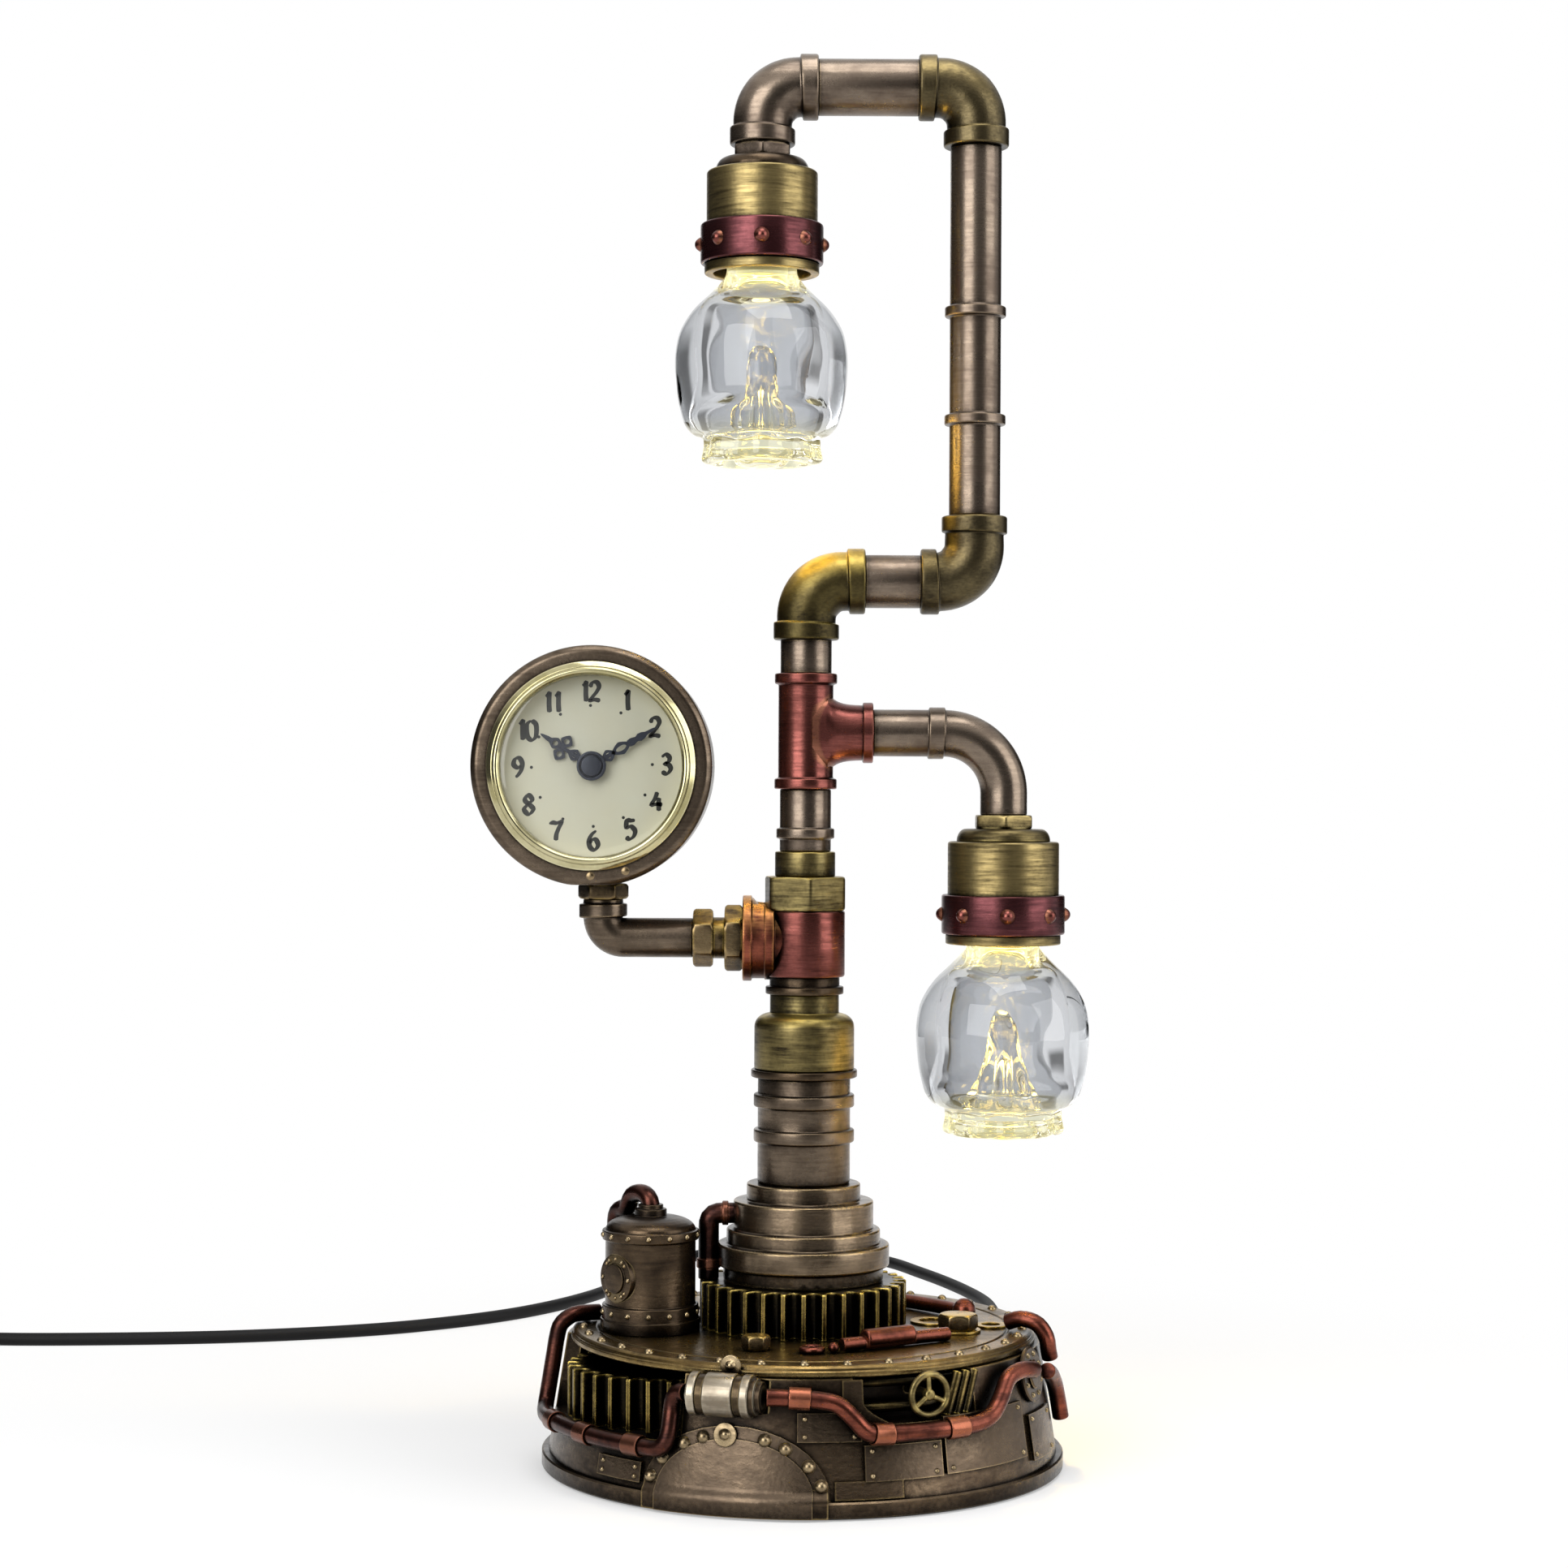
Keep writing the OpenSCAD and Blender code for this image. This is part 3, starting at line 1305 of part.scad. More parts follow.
module porthole() {
  translate([tank_x, tank_y, plate_top + 17.3])
    rotate([90, 0, -48])
      translate([0, 0, tank_r - 1.2])
        children();
}
module tank() {
  flange_z = tank_h - 3;
  top = plate_top + tank_h;
  color(bronze) {
    difference() {
      union() {
        translate([tank_x, tank_y, 0])
          turned(concat(disc(tank_foot_r, plate_top, 3.8), disc(tank_r + 1, plate_top + 3.8, 4.4, 0.3),
            [[tank_r, plate_top + 8.2], [tank_r, plate_top + flange_z]],
            disc(tank_r + 1, plate_top + flange_z, 3, 0.3),
            [for (a = [0:15:75]) [5.1 + (tank_r - 5.1) * cos(a), top + 4.3 * sin(a)]],
            disc(5.1, top + 4.3, 3.4, 0.4), disc(3.8, top + 7.7, 2.6, 0.4)), 0);
        porthole()
          turned(concat(disc(7.6, -1, 2.2, 0.3), disc(4.6, 1.2, 0.9, 0.3)), 0);
      }
      translate([tank_x, tank_y, plate_top - 1])
        cylinder(r = tank_r - 2.5, h = tank_h - 2);
    }
  }
}

// Hand-placed points on the top plate, with heights above it
function on_plate(p) = [for (q = p) [q[0] * plan, q[1] * plan, plate_top + q[2]]];
module plate_pipes() {
  arch_r = 1.9;
  tank_top = plate_top + tank_h + 10.3;
  side = (tank_foot_r + arch_r + 0.7) * sin(45);
  arch = [[tank_x, tank_y, tank_top], [tank_x, tank_y, tank_top + 5],
    [tank_x - side / 2, tank_y + side / 3, tank_top + 7], [tank_x - side, tank_y + side - 0.5, tank_top - 2],
    [tank_x - side, tank_y + side, plate_top + 26], [tank_x - side, tank_y + side, plate_top]];
  ring_z = gear_top + neck_ring_h + wide_ring_h + third_ring_h + tall_ring_h / 2;
  elbow_x = -wide_ring_r - 2.5 - air;
  color(copper) {
    tube(rounded(arch, 3.4, 4), arch_r, 10, [0.6, 0.8, 0.1]);
    tube(rounded([[-tall_ring_r - 0.05, 0, ring_z], [elbow_x, 0, ring_z], [elbow_x, 0, gear_top]], 4, 5), 2.5, 10,
      [0, 1, 0]);
    tube(on_plate([[11.5, -49.5, 2.2], [17.5, -46, 2.2], [34.5, -35.5, 2.2], [45, -29, 2.2]]), 2.1, 10);
    tube(on_plate([[18.5, -45.4, 3.2], [33.5, -36.1, 3.2]]), 3.1, 12);
    tube(smooth(on_plate([[23, 42, 2.4], [36, 30, 2.4], [47, 17, 2.6], [52, 9, 2.6]]), 2), 2.3, 10);
    translate(on_plate([[52, 6.6, 3.3]])[0])
      sphere(r = 3.3);
    translate(on_plate([[2.5, -51, 1.1]])[0])
      rotate_extrude()
        translate([3, 0])
          circle(r = 1.1);
    translate(on_plate([[9, -51.4, 1.7]])[0])
      sphere(r = 1.7);
  }
}

module plate_bolts() {
  color(brass) {
    translate(on_plate([[-14.6, -46, 0]])[0])
      hexagon(4.6, 4.6, 0);
    translate(on_plate([[49, -13, 0]])[0])
      turned(disc(7.2, 0, 0.9, 0.2), 0);
    translate(on_plate([[49, -13, 0.9]])[0])
      hexagon(6.4, 5, 0);
    translate(on_plate([[42, 4, 0]])[0])
      turned(disc(7.5, 0, 0.8, 0.2), 4.6);
    translate(on_plate([[60, -3, 0]])[0])
      turned(disc(5.4, 0, 0.8, 0.2), 3);
  }
}

// The two lamp leads run side by side through the pipes' bores
module wiring() {
  side = lead_r + slip;
  start = drum_top - 15;
  bend = elbow_bend_r - 2.8;
  upper = [[0, driver_y, start], [0, side, start], [0, side, cross_z], [riser_x, side, cross_z],
    [riser_x, side, top_z], [upper_x, side, top_z], [upper_x, side, upper_lamp_z + led_z]];
  lower = [[0, driver_y, start - 5], [0, -side, start - 5], [0, -side, branch_z], [lower_x, -side, branch_z],
    [lower_x, -side, lower_lamp_z + led_z]];
  tail = pocket_r - 18.87;
  switch = smooth([[tail * sin(wheel_az), -tail * cos(wheel_az), wheel_z - 1.2], [21, -34, 31],
    [20, -12, 24], [20, 12, 18], [20, driver_y, 16]], 3);
  color(black) {
    tube(rounded(upper, [5, bend, bend, bend, bend], 4), lead_r, 8, [0.35, 0.9, 0.25]);
    tube(rounded(lower, [5, 5, branch_bend_r - 1.2], 4), lead_r, 8, [0.35, 0.9, 0.25]);
    tube(switch, lead_r, 8);
    translate([gland_x, driver_y + driver_d, gland_z])
      rotate([-90, 0, 0])
        cylinder(r = cord_r, h = gland_in - driver_y - driver_d);
  }
}

module strain_relief() {
  color(black)
    translate([gland_x, 0, gland_z])
      rotate([-90, 0, 0])
        turned([[6.6, gland_in], [6.6, gland_in + 2], [5 - slip, gland_in + 2], [5 - slip, gland_wall + 3.4],
          [6.5, gland_wall + 3.4], [6.5, gland_wall + 5.6], [5, gland_wall + 6.4], [cord_r + 0.9, gland_end]], 0);
}

module cord_run() {
  color(black)
    tube(smooth(route, 2), cord_r, 10);
}

// Coil: the turns spiral inwards on the table, climb a layer while the spiral turns back, and spiral out again
coil_half = 360 * coil_turns;
function coil_point(t) = let (
    r = coil_in_r + coil_pitch * abs(t - coil_half) / 360,
    climb = min(max((t - coil_half + 90) / 180, 0), 1)
  ) [coil_x + r * cos(90 + t), coil_y + r * sin(90 + t), coil_z + coil_pitch * (3 - 2 * climb) * climb * climb];
coil_turns_path = [for (k = [0:round(2 * coil_turns * coil_steps)]) coil_point(k * 360 / coil_steps)];
coil_path = concat([[coil_x + cord_d, coil_y + coil_out_r, coil_z]], coil_turns_path,
  [[plug_x, plug_y, coil_top_z]]);
coil_gap = min([for (i = [0:len(coil_path) - 13]) for (j = [i + 12:len(coil_path) - 1])
  norm(coil_path[i] - coil_path[j])]) - cord_d;
echo("least gap between the coil's turns", coil_gap);
module cord_coil() {
  color(black)
    tube(coil_path, cord_r, 6);
}

// The tie is a band round the whole bundle, on the side away from the lamp
module cord_tie() {
  w = 7;
  turn = (tie_az - 90) / 360;
  in_r = coil_out_r - coil_pitch * (turn + floor(coil_turns - turn)) - cord_r - 0.2;
  last = 2 * coil_turns - turn;
  out_r = coil_out_r - coil_pitch * min(turn, last - floor(last)) + cord_r + 0.2;
  half_z = coil_pitch / 2 + cord_r + 0.1;
  color([0.1, 0.1, 0.11])
    translate([coil_x, coil_y, (coil_z + coil_top_z) / 2])
      rotate([0, 0, tie_az])
        translate([0, w / 2, 0])
          rotate([90, 0, 0])
            linear_extrude(w)
              difference() {
                translate([in_r - tie_t, -half_z - tie_t])
                  square([out_r - in_r + 2 * tie_t, 2 * (half_z + tie_t)]);
                translate([in_r, -half_z])
                  square([out_r - in_r, 2 * half_z]);
              }
}

module at_plug() {
  translate([plug_x, plug_y, coil_top_z])
    rotate([90, 0, 0])
      children();
}
module plug_body() {
  t = 2 * coil_top_z;
  color(black)
    at_plug() {
      turned([[cord_r + 0.8, 0.05], [cord_r + 3, plug_neck_l]], 0);
      translate([0, 0, plug_neck_l])
        intersection() {
          translate([-plug_w / 2, -t / 2, 0])
            cube([plug_w, t, plug_l]);
          rotate([90, 0, 0])
            translate([0, 0, -t])
              linear_extrude(2 * t)
                polygon([[-8, 0], [8, 0], [plug_w / 2, 12], [plug_w / 2, plug_l], [-plug_w / 2, plug_l],
                  [-plug_w / 2, 12]]);
        }
    }
}

module plug_pins() {
  color("silver")
    at_plug()
      for (s = [-1, 1])
        translate([s * pin_gap / 2, 0, plug_neck_l + plug_l])
          turned([[pin_r, 0], [pin_r, pin_l - 0.6], [pin_r - 0.6, pin_l]], 0);
}

felt_pad();
base_cover();
cover_screws();
base_drum();
top_plate();
plate_rivets();
base_gear();
drum_plates();
front_capsule();
drum_pipes();
pipe_couplings();
handwheel();
rotary_switch();
led_driver();
column_gear();
pedestal();
tie_rod();
lower_pipe();
bell_coupling();
valve_block();
hex_reducer();
column_pipe();
tee();
pipe_nipples();
elbow_1();
elbow_2();
elbow_3();
elbow_4();
riser_pipe();
branch_pipe();
lamp_nuts();
lamp_sockets();
socket_bands();
band_rivet_set();
led_modules();
shade_grommets();
upper_shade();
lower_shade();
clock_case();
clock_stem();
clock_nuts();
insert_cup();
movement();
battery();
dial();
bezel();
lens();
hour_hand();
minute_hand();
set_knob();
tank();
plate_pipes();
plate_bolts();
wiring();
strain_relief();
cord_run();
cord_coil();
cord_tie();
plug_body();
plug_pins();
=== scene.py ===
import math
import bmesh
import bpy
import numpy as np
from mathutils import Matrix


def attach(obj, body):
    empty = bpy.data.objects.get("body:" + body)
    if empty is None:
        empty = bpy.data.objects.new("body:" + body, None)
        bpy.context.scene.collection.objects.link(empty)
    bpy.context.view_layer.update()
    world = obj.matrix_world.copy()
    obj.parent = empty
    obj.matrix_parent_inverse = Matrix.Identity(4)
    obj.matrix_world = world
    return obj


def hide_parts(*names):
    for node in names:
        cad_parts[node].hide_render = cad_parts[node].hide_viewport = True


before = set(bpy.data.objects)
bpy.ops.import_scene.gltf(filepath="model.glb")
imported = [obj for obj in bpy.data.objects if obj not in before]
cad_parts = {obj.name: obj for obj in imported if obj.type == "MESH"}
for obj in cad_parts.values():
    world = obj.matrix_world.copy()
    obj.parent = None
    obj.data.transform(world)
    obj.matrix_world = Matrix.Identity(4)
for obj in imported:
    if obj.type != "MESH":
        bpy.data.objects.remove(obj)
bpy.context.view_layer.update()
mm = 0.001
deg = math.pi / 180
scene = bpy.context.scene
scene.view_settings.view_transform = "Standard"


def placed(name, data):
    # an object that holds the data, linked to the scene
    thing = bpy.data.objects.new(name, data)
    scene.collection.objects.link(thing)
    return thing


# the photograph's place: level, at the height of the lower shade, a metre in front
cameraSpec = {"place": (-6.9, -1004, 217), "lens": 71.93, "sensor": 36, "roll": -0.005, "sight": 20}
cameraData = bpy.data.cameras.new("camera")
cameraData.sensor_width = cameraSpec["sensor"]
cameraData.lens = cameraSpec["lens"]
cameraData.clip_end = cameraSpec["sight"]
scene.camera = placed("camera", cameraData)
scene.camera.location = np.array(cameraSpec["place"]) * mm
scene.camera.rotation_euler = (math.pi / 2, cameraSpec["roll"], 0)


def linear(hexColour):
    # sRGB hex value to linear red, green, blue and full alpha
    c = np.array([int(hexColour[i:i + 2], 16) for i in (1, 3, 5)]) / 255
    c = np.where(c <= 0.04045, c / 12.92, ((c + 0.055) / 1.055) ** 2.4)
    return (*c.tolist(), 1.0)


def feed(tree, node, inputs):
    # each input takes a value, or is linked to another node's output
    for key, value in inputs.items():
        if isinstance(value, bpy.types.NodeSocket):
            tree.links.new(value, node.inputs[key])
        else:
            node.inputs[key].default_value = value


def addNode(tree, kind, output=None, inputs=None, **settings):
    # one node with its settings and inputs; gives the output asked for, or else the node
    node = tree.nodes.new("ShaderNode" + kind)
    for key, value in settings.items():
        setattr(node, key, value)
    feed(tree, node, inputs or {})
    return node if output is None else node.outputs[output]


# a shape is a pair of arrays: points in mm, and quads as rows of four point numbers

def unit(v):
    # each vector divided by its length
    return v / np.linalg.norm(v, axis=-1, keepdims=True)


def eased(t):
    # 0 to 1 with level ends: three times the square less twice the cube
    t = np.clip(t, 0, 1)
    return (3 - 2 * t) * t ** 2


def around(count):
    # even angles round a full turn, the last one short of the first
    return np.linspace(0, 2 * math.pi, count, endpoint=False)


def ringed(radius, height, angle):
    # points round the z axis: radius times the angle's cosine and sine, at a height
    return np.stack(np.broadcast_arrays(radius * np.cos(angle), radius * np.sin(angle), height), -1)


def spin(axis, angle):
    # matrix of a turn in degrees about x, y or z: cosines, and sines of opposite sign, between the other two axes
    c, s = math.cos(angle * deg), math.sin(angle * deg)
    j, k = {"x": (1, 2), "y": (2, 0), "z": (0, 1)}[axis]
    turn = np.eye(3)
    turn[[j, j, k, k], [j, k, j, k]] = c, -s, s, c
    return turn


def lengths(path):
    # distance along a line at each of its points: the sum of the steps before it
    return np.concatenate([[0], np.cumsum(np.linalg.norm(np.diff(path, axis=0), axis=1))])


def surface(grid, wrapRows=True, wrapCols=True):
    # points of a rows by columns grid, and the quads between neighbours
    rows, cols = grid.shape[:2]
    i, j = np.meshgrid(np.arange(rows - (not wrapRows)), np.arange(cols - (not wrapCols)), indexing="ij")
    down, right = (i + 1) % rows, (j + 1) % cols
    quads = np.stack([i * cols + j, i * cols + right, down * cols + right, down * cols + j], -1)
    return grid.reshape(-1, 3), quads.reshape(-1, 4)


def joined(*shapes):
    # shapes put together: each one's point numbers go up by the count of points before it
    starts = np.cumsum([0] + [len(s[0]) for s in shapes[:-1]])
    return np.concatenate([s[0] for s in shapes]), np.concatenate([s[1] + k for s, k in zip(shapes, starts)])


def moved(shape, turn=np.eye(3), to=(0, 0, 0)):
    # every point times a matrix, plus a place
    return shape[0] @ np.asarray(turn).T + np.asarray(to, float), shape[1]


def softened(points, radius, closed=True, steps=4):
    # each corner of a line becomes a bow that starts and ends up to a radius away from it
    p = np.asarray(points, float)
    before, after = np.roll(p, 1, 0) - p, np.roll(p, -1, 0) - p
    lengthA = np.linalg.norm(before, axis=1, keepdims=True) + 1e-9
    lengthB = np.linalg.norm(after, axis=1, keepdims=True) + 1e-9
    cut = np.minimum(radius, 0.48 * np.minimum(lengthA, lengthB))
    a, b = p + before / lengthA * cut, p + after / lengthB * cut
    t = np.linspace(0, 1, steps + 1)[None, :, None]
    bows = (1 - t) ** 2 * a[:, None] + 2 * t * (1 - t) * p[:, None] + t ** 2 * b[:, None]
    if closed:
        return bows.reshape(-1, p.shape[1])
    return np.concatenate([p[:1], bows[1:-1].reshape(-1, p.shape[1]), p[-1:]])


def dense(line, step, closed=False):
    # the same line with further points on it, no more than a step apart
    p = np.concatenate([line, line[:1]]) if closed else line
    at = lengths(p)
    t = np.unique(np.concatenate([at, np.arange(0, at[-1], step)]))
    t = t[:-1] if closed else t
    return np.stack([np.interp(t, at, p[:, k]) for k in range(p.shape[1])], -1)


def turned(profile, soft=0.5, columns=80, solid=False):
    # a line of (radius, height) points with softened corners, carried round the z axis;
    # a solid one starts and ends on the axis, any other closes on itself
    p = softened(profile, soft, not solid)
    return surface(ringed(p[:, :1], p[:, 1:], around(columns)), wrapRows=not solid)


def lathed(outline, bore, soft, columns):
    # an outline of (radius, height) points from bottom to top, carried round the z axis, with a bore down its
    # middle; a bore of 0 makes it solid
    profile = [(bore, outline[0][1]), *outline, (bore, outline[-1][1])]
    return turned(profile, soft, columns, solid=bore == 0)


def shoulder(radius, height, wide, tall, sweep=90):
    # part of an ellipse: width times the cosine past a radius, rise times the sine above a height
    a = np.linspace(0, sweep, 7) * deg
    return list(zip(radius + wide * np.cos(a), height + tall * np.sin(a)))


def hoop(radius, wire, columns, points=32):
    # a wire ring: a circle at a radius from the z axis, carried round it
    a = around(points)
    return turned(np.stack([radius + wire * np.cos(a), wire * np.sin(a)], -1), 0.02, columns)


def bentLine(corners, radius, steps=14):
    # straight runs with a quarter circle at each right-angled corner
    p = np.asarray(corners, float)
    u, v = unit(p[:-2] - p[1:-1])[:, None], unit(p[2:] - p[1:-1])[:, None]
    a = np.linspace(0, math.pi / 2, steps)[None, :, None]
    arcs = p[1:-1, None] + radius * (u + v) - radius * (v * np.cos(a) + u * np.sin(a))
    return np.concatenate([p[:1], arcs.reshape(-1, 3), p[-1:]])


def smoothRoute(points, steps):
    # cubic line through the points: its slope at a point is half the step between the point's neighbours, and the
    # ends are held
    p = np.asarray(points, float)
    n = len(p)
    a, b, c, d = (p[k][:, None] for k in (np.r_[0, 0:n - 2], np.r_[0:n - 1], np.r_[1:n], np.r_[2:n, n - 1]))
    t = (np.arange(steps) / steps)[None, :, None]
    line = 0.5 * (2 * b + (c - a) * t + (2 * a - 5 * b + 4 * c - d) * t ** 2 + (3 * b - a - 3 * c + d) * t ** 3)
    return np.concatenate([line.reshape(-1, p.shape[1]), p[-1:]])


def swept(path, profile, columns=48, side=(0, 1, 0), solid=False, step=1.2):
    # a line of (distance along a path, radius) points carried round the path, each ring square to it;
    # side fixes the ring's start, and "out" points it away from the lamp's axis
    path = np.asarray(path, float)
    profile = dense(np.asarray(profile, float), step, closed=not solid)
    at = lengths(path)
    place = np.clip(profile[:, 0], 0, at[-1])
    heading = np.gradient(path, at, axis=0)
    centre = np.stack([np.interp(place, at, path[:, k]) for k in range(3)], -1)
    along = unit(np.stack([np.interp(place, at, heading[:, k]) for k in range(3)], -1))
    mark = centre * [1, 1, 0] if isinstance(side, str) else np.asarray(side, float) + 0 * centre
    across = unit(np.cross(along, mark))
    up = np.cross(across, along)
    angle = around(columns)[None, :, None]
    ring = np.cos(angle) * across[:, None] + np.sin(angle) * up[:, None]
    return surface(centre[:, None] + profile[:, 1][:, None, None] * ring, wrapRows=not solid)


def rod(path, radius, columns=24, side=(0, 0, 1), soft=0.4, step=1.5):
    # a solid round bar along a path, its ends closed and softened
    length = lengths(path)[-1]
    ends = softened([(0, 0), (0, radius), (length, radius), (length, 0)], soft, closed=False)
    return swept(path, ends, columns, side, solid=True, step=step)


def hexNut(corner, height, bore, turn=0, columns=120):
    # radius over angle is the flat's distance over the cosine from the flat's middle, eased at the corners, and cut
    # by a cone at both faces
    angle = around(columns)
    flat = corner * math.cos(30 * deg) / np.cos(np.mod(angle - turn * deg, 60 * deg) - 30 * deg)
    cut, rise = np.array([1.7, 0.9, 0.4, 0]), np.array([0, 0.12, 0.5, 0.95])
    limit = corner - np.concatenate([cut, cut[::-1]])[:, None]
    level = np.concatenate([[0], rise, height - rise[::-1], [height]])[:, None]
    radius = -np.log(np.exp(-5 * flat) + np.exp(-5 * (limit + 0.1))) / 5
    return surface(ringed(np.pad(radius, ((1, 1), (0, 0)), constant_values=bore), level, angle))


def domes(radius, height, spots, turns=None, rings=5, columns=14):
    # flattened half balls: height falls with a power of the distance from the middle; one at each spot, its axis
    # turned with the matrix given for it
    t = np.linspace(1, 0, rings)[:, None]
    angle = around(columns)
    foot = ringed(radius * t[:0:-1], 0, angle)
    cap = ringed(radius * t, height * (1 - t ** 2.4), angle)
    one = surface(np.concatenate([foot, cap]), wrapRows=False)
    return joined(*[moved(one, turn, spot) for spot, turn in zip(spots, turns or [np.eye(3)] * len(spots))])


def ribbon(line, halfWidth, low, high):
    # a flat strip along a line in the x, y plane, between two heights; halfWidth is given at each point
    p = np.asarray(line, float)
    along = unit(np.gradient(p, axis=0))
    across = np.stack([-along[:, 1], along[:, 0]], -1) * np.asarray(halfWidth, float)[:, None]
    corner = np.stack([p + across, p - across, p - across, p + across], 1)
    height = np.array([high, high, low, low])[None, :, None] + 0 * corner[..., :1]
    return surface(np.concatenate([corner, height], -1), wrapRows=False)


def ringPlate(centre, outer, inner, low, high, columns=48):
    # a flat ring between two outlines, each a function of the angle giving a radius
    angle = around(columns)
    rows = [(outer(angle), low), (outer(angle), high), (inner(angle), high), (inner(angle), low)]
    return surface(np.stack([ringed(r, z, angle) for r, z in rows]) + (*centre, 0))


def makePiece(name, shape, finish, nodes=(), body="lamp", sharp=38):
    # a mesh object at the origin, closed and facing outwards, that rides on a body
    mesh = bpy.data.meshes.new(name)
    mesh.from_pydata((shape[0] * mm).tolist(), [], shape[1].tolist())
    work = bmesh.new()
    work.from_mesh(mesh)
    bmesh.ops.remove_doubles(work, verts=work.verts, dist=2e-6)
    bmesh.ops.recalc_face_normals(work, faces=work.faces)
    work.to_mesh(mesh)
    work.free()
    mesh.shade_smooth()
    mesh.set_sharp_from_angle(angle=sharp * deg)
    mesh.materials.append(finishes[finish])
    piece = placed(name, mesh)
    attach(piece, body)
    if nodes:
        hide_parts(*nodes)
    return piece


def newMaterial(name):
    # a material, its node tree and its shader
    material = bpy.data.materials.new(name)
    material.use_nodes = True
    return material, material.node_tree, material.node_tree.nodes["Principled BSDF"]


def agedMetal(name, spec):
    # cold-cast metal: a body colour broken by fine brush marks, a dark wash in corners and gaps, partly the real wash
    # and partly painted shade, edges rubbed bright, and upper faces painted with the same bright colour as light from
    # above;
    # sizes are in mm: mottle and grain are the width of their patches, wash-and-shade and rub the reach from an edge
    material, tree, shader = newMaterial(name)
    place = addNode(tree, "TexCoord", "Object")
    fine = 1 / (spec["grain"] * mm)
    mottle = addNode(tree, "TexNoise", "Fac", {"Vector": place, "Scale": 1 / (spec["mottle"] * mm), "Detail": 5.0,
                                               "Roughness": 0.62})
    grain = addNode(tree, "TexNoise", "Fac", {"Vector": place, "Scale": fine, "Detail": 3.0})
    brushed = addNode(tree, "Mapping", "Vector", {"Vector": place, "Scale": spec["brush"]})
    lines = addNode(tree, "TexNoise", "Fac", {"Vector": brushed, "Scale": fine, "Detail": 4.0, "Roughness": 0.6})
    broken = addNode(tree, "Mix", "Result", {"Factor": spec["speckle"], "A": mottle, "B": lines}, data_type="FLOAT")
    low, high = spec["patches"]
    patch = addNode(tree, "MapRange", "Result", {"Value": broken, "From Min": low, "From Max": high})
    body = addNode(tree, "Mix", "Result", {"Factor": patch, "A": linear(spec["deep"]), "B": linear(spec["body"])},
                   data_type="RGBA")
    # ambient occlusion over all parts makes it darker in corners and where parts meet: partly the real wash, partly
    # painted shade
    hidden = addNode(tree, "AmbientOcclusion", "AO", {"Distance": spec["washAndShadeReach"] * mm}, samples=6)
    washAndShadeMask = addNode(tree, "Math", 0, {0: grain, 1: spec["ragged"], 2: hidden}, operation="MULTIPLY_ADD")
    low, high = spec["washAndShadeRange"]
    washAndShadeShare = addNode(tree, "MapRange", "Result", {"Value": washAndShadeMask, "From Min": low, "From Max": high},
                     interpolation_type="SMOOTHSTEP")
    dark = addNode(tree, "Mix", "Result", {"Factor": washAndShadeShare, "A": linear(spec["dark"]), "B": body}, data_type="RGBA")
    inside = addNode(tree, "AmbientOcclusion", "AO", {"Distance": spec["rub"] * mm}, samples=6, inside=True,
                     only_local=True)
    ragged = addNode(tree, "Math", 0, {0: grain, 1: spec["ragged"], 2: inside}, operation="MULTIPLY_ADD")
    edge = addNode(tree, "MapRange", "Result", {"Value": ragged, "From Min": 1.0, "From Max": 0.7,
                                                "To Max": spec["rubShare"]}, interpolation_type="SMOOTHSTEP")
    # painted light: faces that point up get the bright colour, standing in for light falling from above; it joins the
    # rubbed edges
    upward = addNode(tree, "SeparateXYZ", "Z", {0: addNode(tree, "NewGeometry", "Normal")})
    topLight = addNode(tree, "MapRange", "Result", {"Value": upward, "From Min": 0.1, "From Max": 0.95,
                                                 "To Max": spec["top"]})
    topLight = addNode(tree, "Math", 0, {0: topLight, 1: patch}, operation="MULTIPLY")
    rubAndTopLight = addNode(tree, "Math", 0, {0: edge, 1: topLight}, operation="MAXIMUM")
    colour = addNode(tree, "Mix", "Result", {"Factor": rubAndTopLight, "A": dark, "B": linear(spec["bright"])},
                     data_type="RGBA")
    gloss = addNode(tree, "MapRange", "Result", {"Value": broken, "From Min": 0.35, "From Max": 0.65,
                                                 "To Min": spec["rough"] + 0.1, "To Max": spec["rough"] - 0.06})
    height = addNode(tree, "Mix", "Result", {"Factor": 0.5, "A": grain, "B": lines}, data_type="FLOAT")
    bump = addNode(tree, "Bump", "Normal", {"Height": height, "Strength": spec["relief"],
                                            "Distance": spec["deepest"] * mm})
    feed(tree, shader, {"Base Color": colour, "Roughness": gloss, "Normal": bump, "Metallic": spec["metallic"]})
    return material


def plainFinish(name, spec):
    # moulded, printed or woven surface: two near colours in patches, and a fine relief; sizes are in mm
    material, tree, shader = newMaterial(name)
    place = addNode(tree, "TexCoord", "Object")
    patch = addNode(tree, "TexNoise", "Fac", {"Vector": place, "Scale": 1 / (spec["patch"] * mm), "Detail": 4.0})
    colour = addNode(tree, "Mix", "Result", {"Factor": patch, "A": linear(spec["body"]), "B": linear(spec["second"])},
                     data_type="RGBA")
    grain = addNode(tree, "TexNoise", "Fac", {"Vector": place, "Scale": 1 / (spec["grain"] * mm), "Detail": 2.0})
    bump = addNode(tree, "Bump", "Normal", {"Height": grain, "Strength": spec["relief"],
                                            "Distance": spec["deepest"] * mm})
    feed(tree, shader, {"Base Color": colour, "Normal": bump, "Roughness": spec["rough"],
                        "Metallic": spec["metallic"], "Specular IOR Level": spec["specular"]})
    return material
